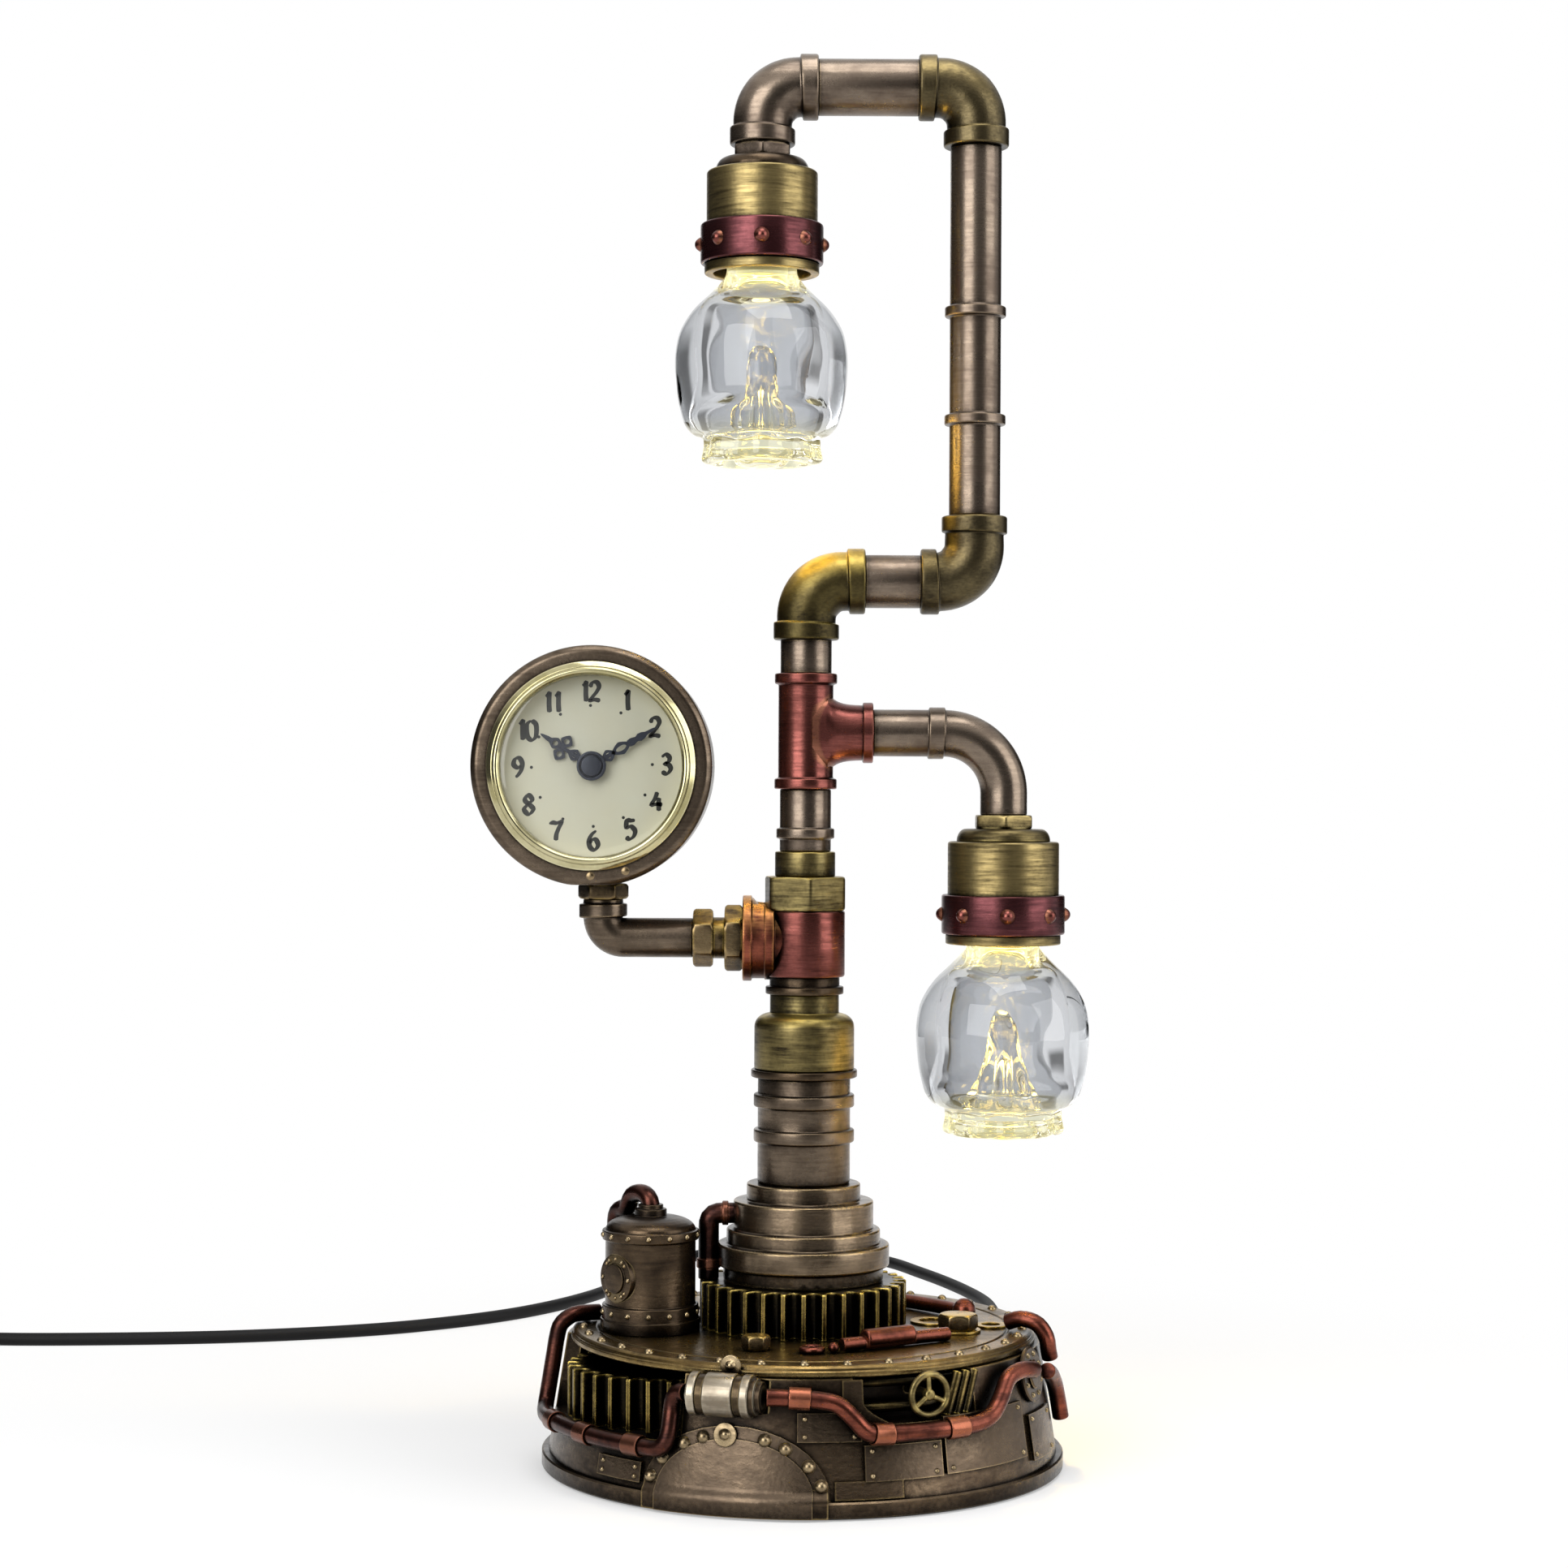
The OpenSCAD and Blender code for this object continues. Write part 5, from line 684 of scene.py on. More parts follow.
for name, shape, places, finish, slotName, nodes in (
        ("upper_lamp_hexagon", nut, heads[:1], "bronze", "antique_brass", ("lamp_nuts",)),
        ("lower_lamp_hexagon", nut, heads[1:], "brass", "antique_brass", ()),
        ("socket_cups", turned(headSpec["socket"], 0.5, 112), heads, "brass", "antique_brass", ("lamp_sockets",)),
        ("upper_socket_dome", dome, heads[:1], "tankBronze", "antique_brass", ()),
        ("lower_socket_dome", dome, heads[1:], "darkBrass", "antique_brass", ()),
        ("socket_rings", turned(headSpec["band"], 0.8, 112), heads, "bandCopper", "copper_red", ("socket_bands",)),
        ("ring_rivets", rivets, heads, "redCopper", "copper_red", ("band_rivet_set",))):
    makePiece(name, joined(*[moved(shape, to=p) for p in places]), finish, nodes)

# glass shade, as (radius, depth under the socket's rim): a full-shouldered globe over a short skirt; inside, a
# hollow whose walls waver, with a spire standing on its floor
shadeSpec = {"mouth": (8.3, -14),
             "globe": [(11.2, -14), (11.2, -6), (11.4, 0), (13.2, 2.9), (17, 6.9), (21.3, 11), (24.4, 15.2),
                       (26.5, 19.6), (27.5, 25), (27.7, 29.5), (27.4, 34), (26.7, 40.2), (25.2, 46.4), (23.9, 49.2),
                       (21.6, 51.4), (18.7, 52.5)],
             "skirt": [(18, 54.5), (18.3, 57), (18.7, 59.2), (17.6, 60.6), (15, 60.8), (13.6, 59.4), (12.6, 57.4),
                       (9.5, 58.2), (7.5, 61), (4.5, 62), (0, 62.2)],
             "hollow": [(11.6, 48.8), (13.2, 49.2), (15.4, 47), (16.2, 43.4), (15, 38.6), (14.2, 33), (14.5, 26),
                        (14, 19), (12.6, 14.6), (9.4, 11.4), (8.4, 5), (8.3, -14)],
             "spire": [(0, 24), (2.8, 24.4), (4.6, 25.8), (5.4, 28.2), (6.1, 31.8), (7.2, 35.4), (9, 38.4), (10, 42),
                       (10.6, 46.4)],
             "spireWidth": 10, "neckLight": 5, "footLight": 0.6}
# radius no less than 0, and depth turned to height
outside, inside = (np.maximum(smoothRoute(shadeSpec[a] + shadeSpec[b], steps), (0, -math.inf)) * (1, -1)
                   for a, b, steps in (("globe", "skirt", 4), ("spire", "hollow", 5)))
outside = np.concatenate([[np.array(shadeSpec["mouth"]) * (1, -1)], outside])
angle = around(144)
# the skirt is fluted, the foot of the spire is lobed, and the hollow's wall wavers as pressed glass does
onSkirt = np.clip((-outside[:, 1:] - 51) / 3, 0, 1)
fluted = onSkirt * (0.04 * np.cos(8 * angle + 0.3) + 0.02 * np.cos(5 * angle + 0.6))
deep = -inside[:, 1:]
lobed = 0.12 * np.clip((deep - 32) / 8, 0, 1) * np.cos(8 * angle)
wavering = 0.04 * np.clip((deep - 8) / 6, 0, 1) * np.cos(4 * angle - 0.5 * np.sin(deep / 4))
within = np.where(np.arange(len(inside))[:, None] < 5 * len(shadeSpec["spire"]), lobed, wavering)
shade = joined(*[surface(ringed(line[:, :1] * (1 + lobes), line[:, 1:], angle), wrapRows=False)
                 for line, lobes in ((outside, fluted), (inside[::-1], within[::-1]))])
for node, (x, y, z) in zip(("upper_shade", "lower_shade"), heads):
    rim = z - headSpec["rimDrop"]
    piece = makePiece(node + "_glass", moved(shade, to=(x, y, rim)), "shadeGlass", (node,), sharp=50)
    piece.visible_shadow = False  # the lamp inside lights the pipes near it
    points = np.empty(3 * len(piece.data.vertices))
    piece.data.vertices.foreach_get("co", points)
    points = points.reshape(-1, 3) / mm
    depth = rim - points[:, 2]
    inSpire = np.hypot(points[:, 0] - x, points[:, 1] - y) < shadeSpec["spireWidth"]
    # painted glow: bright in the neck, in the skirt and at the spire's foot, where the lamp lights the glass
    paintedGlow = np.exp(-(np.clip(depth - 2, 0, None) / 4) ** 2) + np.clip((depth - 47) / 8, 0, 1)
    paintedGlow += inSpire * shadeSpec["neckLight"] * np.exp(-((depth - 6) / 3.5) ** 2)
    paintedGlow += inSpire * shadeSpec["footLight"] * np.clip((depth - 34) / 12, 0, 1)
    piece.data.attributes.new("paintedGlow", "FLOAT", "POINT").data.foreach_set("value", paintedGlow.astype(np.float32))
print("lamp heads made")

# clock; its own frame has x to the right, y up and z towards the viewer, 0 at the case's front
clockSpec = {"at": (-67.6, -20, 222.4), "lean": -1.6, "flat": 184.9,
             "case": [(0, -38), (36.6, -38), (38.1, -36.5), (38.1, -1.6), (36.4, 0), (30.5, 0), (30.5, -34), (0, -34)],
             "pin": (1.3, 0.3), "pins": [(0, -34.6, -0.05), (11, -33, -0.05)],
             "bezel": [(28.6, -5.4), (29.1, -5.4), (29.1, 0.05), (33, 0.05), (33, 0.8), (31.3, 2), (31, 2), (30.9, 2.4),
                       (30.1, 2.9), (29.4, 2.7), (28.6, 1.7)],
             "lens": 28.55, "lensEdge": 0.55, "lensRise": 0.65}
upright = spin("x", 90)
leaning = spin("y", clockSpec["lean"]) @ upright


def onClock(shape, turn=leaning):
    # a shape of the clock's own frame, turned to face the viewer and put in the clock's place
    return moved(shape, turn, clockSpec["at"])


points, quads = onClock(turned(clockSpec["case"], 0.8, 160, solid=True), upright)
points[:, 2] = np.maximum(points[:, 2], clockSpec["flat"])  # the flat that stands on the nut
pins = onClock(domes(*clockSpec["pin"], clockSpec["pins"], rings=6, columns=20), upright)
makePiece("clock_drum", joined((points, quads), pins), "lowBronze", ("clock_case",))
stemSpec = {"corners": [(-35.8, 0, 167.6), (-64.6, 0, 167.6), (-64.6, 0, 179.9)], "bend": 6.5,
            "radius": 6.3, "bore": 3.5, "flange": [(-5.8, 6.3), (-5.75, 7.7), (-1.5, 7.7), (-1.4, 6.4), (0, 6.4)]}
stemPath = bentLine(stemSpec["corners"], stemSpec["bend"], 18)
end, hole = lengths(stemPath)[-1], stemSpec["bore"]
stem = [(0, hole), (0, stemSpec["radius"]), *[(end + s, r) for s, r in stemSpec["flange"]], (end, hole)]
makePiece("clock_arm", swept(stemPath, softened(stem, 0.5), 56, step=0.7), "lowBronze", ("clock_stem",))
unionSpec = {"upright": (8.15, 5), "uprightAt": (-64.6, 0, 179.9), "near": (10.7, 5.8), "nearAt": (-25.7, 0, 167.6),
             "neck": [(6.6, 0), (6.6, 3.6)], "neckAt": (-29.3, 0, 167.6), "far": (9.4, 6.5), "farAt": (-35.8, 0, 167.6)}
unions = joined(moved(hexNut(*unionSpec["upright"], hole), to=unionSpec["uprightAt"]),
                moved(hexNut(*unionSpec["near"], hole), level, unionSpec["nearAt"]),
                moved(lathed(unionSpec["neck"], hole, 0.2, 56), level, unionSpec["neckAt"]),
                moved(hexNut(*unionSpec["far"], hole), level, unionSpec["farAt"]))
makePiece("clock_unions", unions, "nutBronze", ("clock_nuts",))
makePiece("clock_bezel", onClock(turned(clockSpec["bezel"], 0.35, 160)), "gilt", ("bezel",), "clock_insert", 50)
r = np.linspace(clockSpec["lens"], 0, 12)
lensTop = clockSpec["lensEdge"] + clockSpec["lensRise"] * (1 - (r / clockSpec["lens"]) ** 2)
lens = turned([(0, 0), (clockSpec["lens"], 0), *zip(r, lensTop)], 0.05, 96, solid=True)
makePiece("clock_glass", onClock(lens), "lensGlass", ("lens",), "clock_insert")

# numerals drawn with a broad pen: each stroke is a smooth line in a box one high
dialSpec = {"circle": 23.4, "high": 6.2, "narrow": 0.9, "spread": 0.48, "pen": 0.093, "nib": 30, "dots": 19.1,
            "dot": 0.5, "low": -5.45, "top": -5.35}
strokes = {"0": [[(0, .5), (-.24, .32), (-.28, 0), (-.22, -.34), (0, -.5), (.22, -.34), (.28, 0), (.24, .32), (0, .5)]],
           "1": [[(-.15, .3), (-.02, .42), (.05, .5), (.03, .2), (.02, -.15), (.04, -.5)]],
           "2": [[(-.26, .22), (-.14, .46), (.12, .48), (.24, .26), (.1, 0), (-.12, -.24), (-.28, -.44), (0, -.4),
                  (.3, -.47)]],
           "3": [[(-.24, .36), (0, .5), (.21, .34), (.14, .12), (-.06, .04), (.17, -.04), (.26, -.26), (.04, -.49),
                  (-.26, -.36)]],
           "4": [[(.04, .5), (-.1, .16), (-.31, -.16), (0, -.13), (.32, -.17)], [(.12, .2), (.1, -.1), (.1, -.5)]],
           "5": [[(.28, .46), (.04, .44), (-.19, .46), (-.21, .1), (.04, .14), (.26, -.08), (.18, -.36), (-.06, -.5),
                  (-.27, -.38)]],
           "6": [[(.18, .48), (-.1, .28), (-.27, -.06), (-.18, -.4), (.06, -.5), (.25, -.26), (.12, .02), (-.1, 0),
                  (-.24, -.18)]],
           "7": [[(-.28, .32), (-.23, .44), (.02, .4), (.3, .46), (.12, .1), (0, -.18), (-.04, -.5)]],
           "8": [[(0, .03), (-.21, .24), (0, .49), (.21, .24), (0, .03), (-.26, -.24), (0, -.5), (.26, -.24),
                  (0, .03)]],
           "9": [[(.2, .12), (0, 0), (-.23, .16), (-.14, .44), (.1, .48), (.26, .22), (.2, -.1), (.04, -.34),
                  (-.14, -.5)]]}
dot = lathed([(dialSpec["dot"], dialSpec["low"]), (dialSpec["dot"], dialSpec["top"])], 0, 0.02, 16)
inkShapes = []
for hour in range(1, 13):
    towards = np.array([math.sin(hour * 30 * deg), math.cos(hour * 30 * deg)])
    text = str(hour)
    for k, digit in enumerate(text):
        shift = (k - (len(text) - 1) / 2) * dialSpec["spread"] * dialSpec["high"]
        for stroke in strokes[digit]:
            flat = np.array(stroke) * dialSpec["high"] * (dialSpec["narrow"], 1)
            path = smoothRoute(flat, 5) + dialSpec["circle"] * towards + (shift, 0)
            lead = np.linspace(0, 1, len(path))
            heading = np.arctan2(*np.gradient(path, axis=0).T[::-1])
            pen = dialSpec["pen"] * dialSpec["high"] * (0.7 + 0.75 * np.abs(np.sin(heading - dialSpec["nib"] * deg)))
            pen *= np.clip(np.minimum(lead, 1 - lead) * 25, 0, 1) ** 0.5  # pointed ends
            inkShapes.append(ribbon(path, pen, dialSpec["low"], dialSpec["top"]))
    inkShapes.append(moved(dot, to=(*dialSpec["dots"] * towards, 0)))
makePiece("dial_print", onClock(joined(*inkShapes)), "ink", body="clock_insert")


def oval(longHalf, wideHalf, power):
    # radius over angle, long up the y axis: sine and cosine shares to a power are summed, and the root of the sum
    # is turned over; a power of 2 gives an ellipse, a lower one four points with hollowed sides
    return lambda v: (np.abs(np.sin(v) / longHalf) ** power + np.abs(np.cos(v) / wideHalf) ** power) ** (-1 / power)


def blade(stations, low, high):
    # a straight strip up the y axis; stations are (distance, half width)
    s = np.array(stations, float)
    y = np.linspace(s[0, 0], s[-1, 0], 40)
    return ribbon(np.stack([0 * y, y], -1), np.interp(y, s[:, 0], s[:, 1]), low, high)


def handShape(spec, *hub):
    # blades and pierced diamonds up the y axis between two heights, with a hub, turned clockwise by the hand's angle
    low, high = spec["low"], spec["high"]
    blades = [blade(stations, low, high) for stations in spec["blades"]]
    diamonds = [ringPlate(at, oval(*halves, 1.25), oval(*hole, 2), low + 0.01, high + 0.01)
                for at, halves, hole in spec["diamonds"]]
    return onClock(moved(joined(*blades, *diamonds, *hub), spin("z", -spec["angle"])))


hourSpec = {"angle": 303.5, "low": -4.6, "high": -4.2, "bore": 1.6, "hub": 3.2, "pipe": (1.58, 2.4, -7.8),
            "blades": [[(2, 1.1), (5, 0.7), (7.6, 0.7), (9.4, 0.55), (12, 0.55)],
                       [(15.2, 0.8), (16.4, 0.75), (18.4, 0.4), (19.1, 0.12)]],
            "diamonds": [((0, 6.4), (2.5, 2), (0.85, 0.85)), ((-2.3, 10.7), (2.1, 2.2), (0.85, 0.85)),
                         ((2.3, 10.7), (2.1, 2.2), (0.85, 0.85)), ((0, 13.5), (2.6, 1.9), (0.8, 0.8))]}
low, high, r = hourSpec["low"], hourSpec["high"], hourSpec["hub"]
inner, outer, foot = hourSpec["pipe"]
hourShape = handShape(hourSpec, lathed([(r, low), (r, high + 0.02)], hourSpec["bore"], 0.05, 48),
                      lathed([(outer, foot), (outer, low + 0.1)], inner, 0.05, 40))
makePiece("hour_hand_blade", hourShape, "handSteel", ("hour_hand",), "hour")
minuteSpec = {"angle": 60.5, "low": -3.6, "high": -3.2, "shaft": (1.5, -9.3),
              "blades": [[(2, 1), (5, 0.7), (9, 0.6)],
                         [(13.6, 1.1), (15, 1.25), (16.6, 0.8), (17.6, 1.3), (19, 1.1), (20, 0.6), (22.6, 0.4),
                          (23.9, 0.1)]],
              "diamonds": [((0, 6.3), (2.5, 2), (0.9, 0.9)), ((0, 10.9), (3.6, 2.1), (1.8, 0.75))],
              "cap": [(4.65, -0.02), (4.65, 1.6), (3.75, 1.65), (3.7, 1), (3.3, 1), (3.2, 2.1), (0, 2.2)]}
low, (r, foot) = minuteSpec["low"], minuteSpec["shaft"]
cap = [(capRadius, low + rise) for capRadius, rise in minuteSpec["cap"]]
minuteShape = handShape(minuteSpec, turned([(0, cap[0][1]), *cap], 0.2, 64, solid=True),
                        lathed([(r, foot), (r, low + 0.1)], 0, 0.05, 32))
makePiece("minute_hand_blade", minuteShape, "handSteel", ("minute_hand",), "minute")
print("clock made")

# gears of the column and the window; a tooth is given as (share of the pitch, share of the height)
gearSpec = {"tip": 33, "root": 29, "web": 27.5, "teeth": 32, "bevel": 0.35,
            "tooth": [(-0.5, 0), (-0.4, 0.03), (-0.3, 0.12), (-0.21, 0.3), (-0.16, 0.56), (-0.12, 0.9), (-0.1, 0.98),
                      (-0.08, 1), (0, 1), (0.08, 1), (0.1, 0.98), (0.12, 0.9), (0.16, 0.56), (0.21, 0.3), (0.3, 0.12),
                      (0.4, 0.03)],
            "column": (14.5, (0, 0, 44)), "window": (16, (-40.895, -19.946, 19.5))}


def gearShape(high):
    # radius over angle rises once a tooth from a hollow root to a narrow tip; the faces are bevelled and run in to
    # the bore
    step, share = np.array(gearSpec["tooth"]).T
    angle = ((np.arange(gearSpec["teeth"])[:, None] + step) * 2 * math.pi / gearSpec["teeth"]).ravel()
    tooth = gearSpec["root"] + np.tile(share, gearSpec["teeth"]) * (gearSpec["tip"] - gearSpec["root"])
    web, bevel = gearSpec["web"], gearSpec["bevel"]
    rows = [(tieBore, 0), (web, 0), (tooth - bevel, 0), (tooth, bevel), (tooth, 1.2), (tooth, high - 1.2),
            (tooth, high - bevel), (tooth - bevel, high), (web, high), (tieBore, high)]
    return surface(np.stack([ringed(r, z, angle) for r, z in rows]))


for place, node in (("column", "column_gear"), ("window", "base_gear")):
    high, at = gearSpec[place]
    makePiece(place + "_gear_wheel", moved(gearShape(high), to=at), "gear", (node,), sharp=25)

# wall of the drum: a cone, from its foot ring up to the plate
drumSpec = {"foot": 5.5, "radius": 81, "slope": 5.5 / 35}


def drumRadius(z):
    # radius of the cone at a height: it falls by the slope for every mm above the foot
    return drumSpec["radius"] - drumSpec["slope"] * (z - drumSpec["foot"])


def wallPoint(az, z, out):
    # point at an azimuth, 0 in front and positive to the right, a height, and a distance out from the wall
    r = drumRadius(z) + out
    return np.stack([r * np.sin(az * deg), -r * np.cos(az * deg), z + 0 * r], -1)


def wallTurn(az):
    # matrix that stands a z axis square on the leaning wall at an azimuth
    return spin("z", az) @ spin("x", 90 - math.atan(drumSpec["slope"]) / deg)


def wallSheet(left, right, z, inner, outer, columns=32):
    # a thin closed sheet round the drum: at each height, the azimuths and the distances from the axis it lies between
    share = np.linspace(0, 1, columns)[None]
    az = (left[:, None] * (1 - share) + right[:, None] * share) * deg
    az = np.concatenate([az, az[:, ::-1]], 1)
    r = np.concatenate([outer[:, None] + 0 * share, inner[:, None] + 0 * share], 1)
    grid = np.stack([r * np.sin(az), -r * np.cos(az), z[:, None] + 0 * az], -1)
    ends = [np.stack([inner[k] * np.sin(az[k]), -inner[k] * np.cos(az[k]), z[k] + 0 * az[k]], -1) for k in (0, -1)]
    return surface(np.concatenate([ends[:1], grid, ends[1:]]), wrapRows=False)


plateSpec = {"top": 44, "rim": [(73.6, 40.5), (74, 40.9), (74, 42.2), (73.4, 42.5), (73.3, 43.2), (72.3, 44),
                                (66.2, 44), (65.8, 43.5), (65.2, 43.5), (64.8, 44)]}
makePiece("riveted_plate", lathed(plateSpec["rim"], tieBore, 0.35, 192), "goldPlate", ("top_plate",))
plateTop = plateSpec["top"]

# the arched plate runs on over the drum's foot ring: a dark strip that carries the rivets, and a raised middle
archSpec = {"az": -15.3, "strip": 29, "half": 24.6, "high": 17.6, "thick": 1.2, "foot": 83.5, "low": 0.8, "sheet": 0.9,
            "panelLift": 0.5, "stripLift": 0.12, "stripTop": 9.2, "rivet": (2.15, 1.75), "rivetRise": 18.7,
            "rivets": [-76, -57, -36, -21, 21, 36, 57, 76]}
footTop = drumSpec["foot"]


def archSheet(half, z, share, lift):
    # the sheet follows the foot ring below and eases on to the cone of the wall above it
    ease = eased((8.8 - z) / 3.4)
    r = (drumRadius(z) + archSpec["thick"]) * (1 - ease) + archSpec["foot"] * ease + lift
    reach = np.arcsin(half * share / r) / deg
    return wallSheet(archSpec["az"] - reach, archSpec["az"] + reach, z, r - archSpec["sheet"] - lift, r)


z = np.concatenate([np.linspace(archSpec["low"], footTop, 8),
                    footTop + archSpec["high"] * np.linspace(0.04, 0.995, 36)])
bow = np.sqrt(1 - np.clip((z - footTop) / archSpec["high"], 0, 1) ** 2)
makePiece("arch_panel", archSheet(archSpec["half"], z, bow, archSpec["panelLift"]), "plateBronze")
z = np.linspace(archSpec["low"], archSpec["stripTop"], 16)
bow = 1 - 0.025 * np.clip((z - 6) / 3.2, 0, 1)
makePiece("arch_strip", archSheet(archSpec["strip"] - 0.1, z, bow, archSpec["stripLift"]), "drumBronze")
a = np.array(archSpec["rivets"]) * deg
az = archSpec["az"] + np.arcsin((archSpec["strip"] - 2) * np.sin(a) / drumSpec["radius"]) / deg
spots = wallPoint(az, footTop + archSpec["rivetRise"] * np.cos(a), archSpec["thick"])
archRivets = domes(*archSpec["rivet"], spots, [wallTurn(v) for v in az], 7, 24)
makePiece("arch_rivets", archRivets, "rivetBronze")

# thin sheets to the right of the arch: a low strip, and a cover with a curved edge; heights, azimuths, lift
sheetSpec = {"low": (5.8, 11.2), "lowAz": (6.5, 21.5), "lowLift": 0.55, "cover": (26.6, 40.2), "coverAz": (8.5, 13.2),
             "coverLift": 0.5, "curve": 7.5, "curveTop": 33.5, "curveHigh": 7, "under": 0.3}
z = np.linspace(*sheetSpec["low"], 6)
left, right = sheetSpec["lowAz"]
low = wallSheet(0 * z + left, 0 * z + right, z, drumRadius(z) - sheetSpec["under"],
                drumRadius(z) + sheetSpec["lowLift"])
z = np.linspace(*sheetSpec["cover"], 24)
left, right = sheetSpec["coverAz"]
curve = right + sheetSpec["curve"] * np.clip((sheetSpec["curveTop"] - z) / sheetSpec["curveHigh"], 0, 1) ** 1.6
cover = wallSheet(0 * z + left, curve, z, drumRadius(z) - sheetSpec["under"], drumRadius(z) + sheetSpec["coverLift"])
makePiece("wall_sheets", joined(low, cover), "drumBronze")

# pipes round the drum, as (azimuth, height, distance out), and sleeves at some of their points
pipeSpec = {"radius": 2.6, "sleeve": (2.75, 3.3), "sleeveHalf": 3.2, "steps": 8,
            "sleeves": {"left": (7, 9, 11), "right": (2, 7, 9)},
            "left": [(-25.9, 36, 4.7), (-28, 35.7, 4), (-29.2, 33.2, 3.4), (-29.4, 29, 3.4), (-29.4, 24, 3.9),
                     (-30, 20.6, 4.3), (-32, 18.9, 4.3), (-38, 18.7, 3.6), (-46, 18.6, 3.4), (-54, 18.6, 3.4),
                     (-62, 18.6, 3.4), (-70, 18.4, 3.4), (-78, 17.8, 3.3), (-84, 17.6, 3.1), (-87.4, 18.6, 3.1),
                     (-88.6, 21.5, 3.1), (-89, 28, 3.1), (-89.4, 35, 3.1), (-89.7, 39.5, 3.1), (-90, 43.6, 2.5),
                     (-90.8, 46.4, -0.7), (-92.4, 46.8, -4.7), (-94.4, 46.7, -9)],
            "right": [(-8.1, 36, 4.7), (-5, 35.9, 3.9), (-1, 35.7, 3.6), (3.4, 35.2, 3.6), (7, 34, 4), (10, 30.4, 4.4),
                      (13, 26, 4.4), (16.6, 25, 3.6), (24.5, 25, 3.8), (33.5, 25.2, 4.8), (40, 25.6, 4.7),
                      (44, 27.4, 4.5), (47.5, 31.5, 4.2), (51, 36.2, 3.8), (55, 37.9, 4.4), (58, 37.8, 5.2),
                      (61, 37, 5.2)],
            "side": [(73.6, 33.6, 3.1), (77.4, 31.6, 3.1), (81.5, 27.5, 3.1), (84, 22, 3.1), (85, 16, 3.1)],
            "drop": [(81, 46.7, -9), (79.6, 48.2, -4), (78.8, 47, 0.8), (78.8, 43, 3.1), (79.2, 39, 3.1),
                     (79.8, 36, 3.1)]}
routes = {name: smoothRoute(wallPoint(*np.array(pipeSpec[name], float).T), pipeSpec["steps"])
          for name in ("left", "right", "side", "drop")}
bars = {name: rod(path, pipeSpec["radius"], 24, "out") for name, path in routes.items()}
makePiece("wall_pipes", joined(bars["right"], bars["side"], bars["drop"]), "pipeCopper", ("drum_pipes",))
makePiece("left_wall_pipe", bars["left"], "darkCopper")
sleeves = {}
inner, outer = pipeSpec["sleeve"]
for name, stops in pipeSpec["sleeves"].items():
    middles = lengths(routes[name])[[pipeSpec["steps"] * k for k in stops]]
    ends = [(m - pipeSpec["sleeveHalf"], m + pipeSpec["sleeveHalf"]) for m in middles]
    sleeves[name] = joined(*[swept(routes[name], softened([(a, inner), (a, outer), (b, outer), (b, inner)], 0.25), 28,
                                   "out", step=0.8) for a, b in ends])
makePiece("pipe_sleeves", sleeves["right"], "pipeCopper", ("pipe_couplings",))
makePiece("left_pipe_sleeves", sleeves["left"], "darkCopper")

# capsule across the drum, its steps as (radius, width): bands and grooves, a stepped cap at its right-hand end; black
# straps, as (inner radius, place, outer radius, width), lie in the grooves and over the steps of the cap
capsuleSpec = {"az": -17, "place": (0, -80.007, 36), "start": -11.75,
               "steps": [(3.6, 1.2), (6.5, 2.6), (5.6, 2.4), (6.5, 9.1), (5.6, 2.4), (6.5, 2.6), (5.5, 1.6),
                         (4.5, 1.6)],
               "straps": [(5.4, -7.9, 5.85, 2.3), (5.4, 3.6, 5.85, 2.3), (4.2, 8.6, 5.7, 1.4), (3.5, 10.2, 4.65, 1.6)],
               "lowLug": (3.6, 1, 1.7, 1.3), "lowLugAt": (24.2, 1.3), "highLug": (3.2, 1.2, 1.6, 1.2),
               "highLugAt": (0, -74.05, 43.8)}
toCapsule = spin("z", capsuleSpec["az"])
x = capsuleSpec["start"]
outline = [(0, x)]
for r, w in capsuleSpec["steps"]:
    outline += [(r, x + 0.02), (r, x + w - 0.02)]
    x += w
outline += [(0, x)]
strapRings = [lathed([(b, x), (b, x + w)], a, 0.2, 64) for a, x, b, w in capsuleSpec["straps"]]
capsule, straps = (moved(shape, toCapsule @ level, toCapsule @ capsuleSpec["place"])
                   for shape in (turned(outline, 0.45, 64, solid=True), joined(*strapRings)))
lugs, az = [], capsuleSpec["az"]
for key, turn, place in (("lowLug", wallTurn(az), wallPoint(az, *capsuleSpec["lowLugAt"])),
                         ("highLug", toCapsule @ upright, toCapsule @ capsuleSpec["highLugAt"])):
    r, thick, *head = capsuleSpec[key]
    lug = joined(lathed([(r, 0), (r, thick)], 0, 0.3, 32), domes(*head, [(0, 0, thick)], rings=6, columns=20))
    lugs.append(moved(lug, turn, place))
makePiece("capsule_body", capsule, "silver", ("front_capsule",))
makePiece("capsule_lugs", joined(*lugs), "rivetBronze")
makePiece("capsule_straps", straps, "tankBronze")

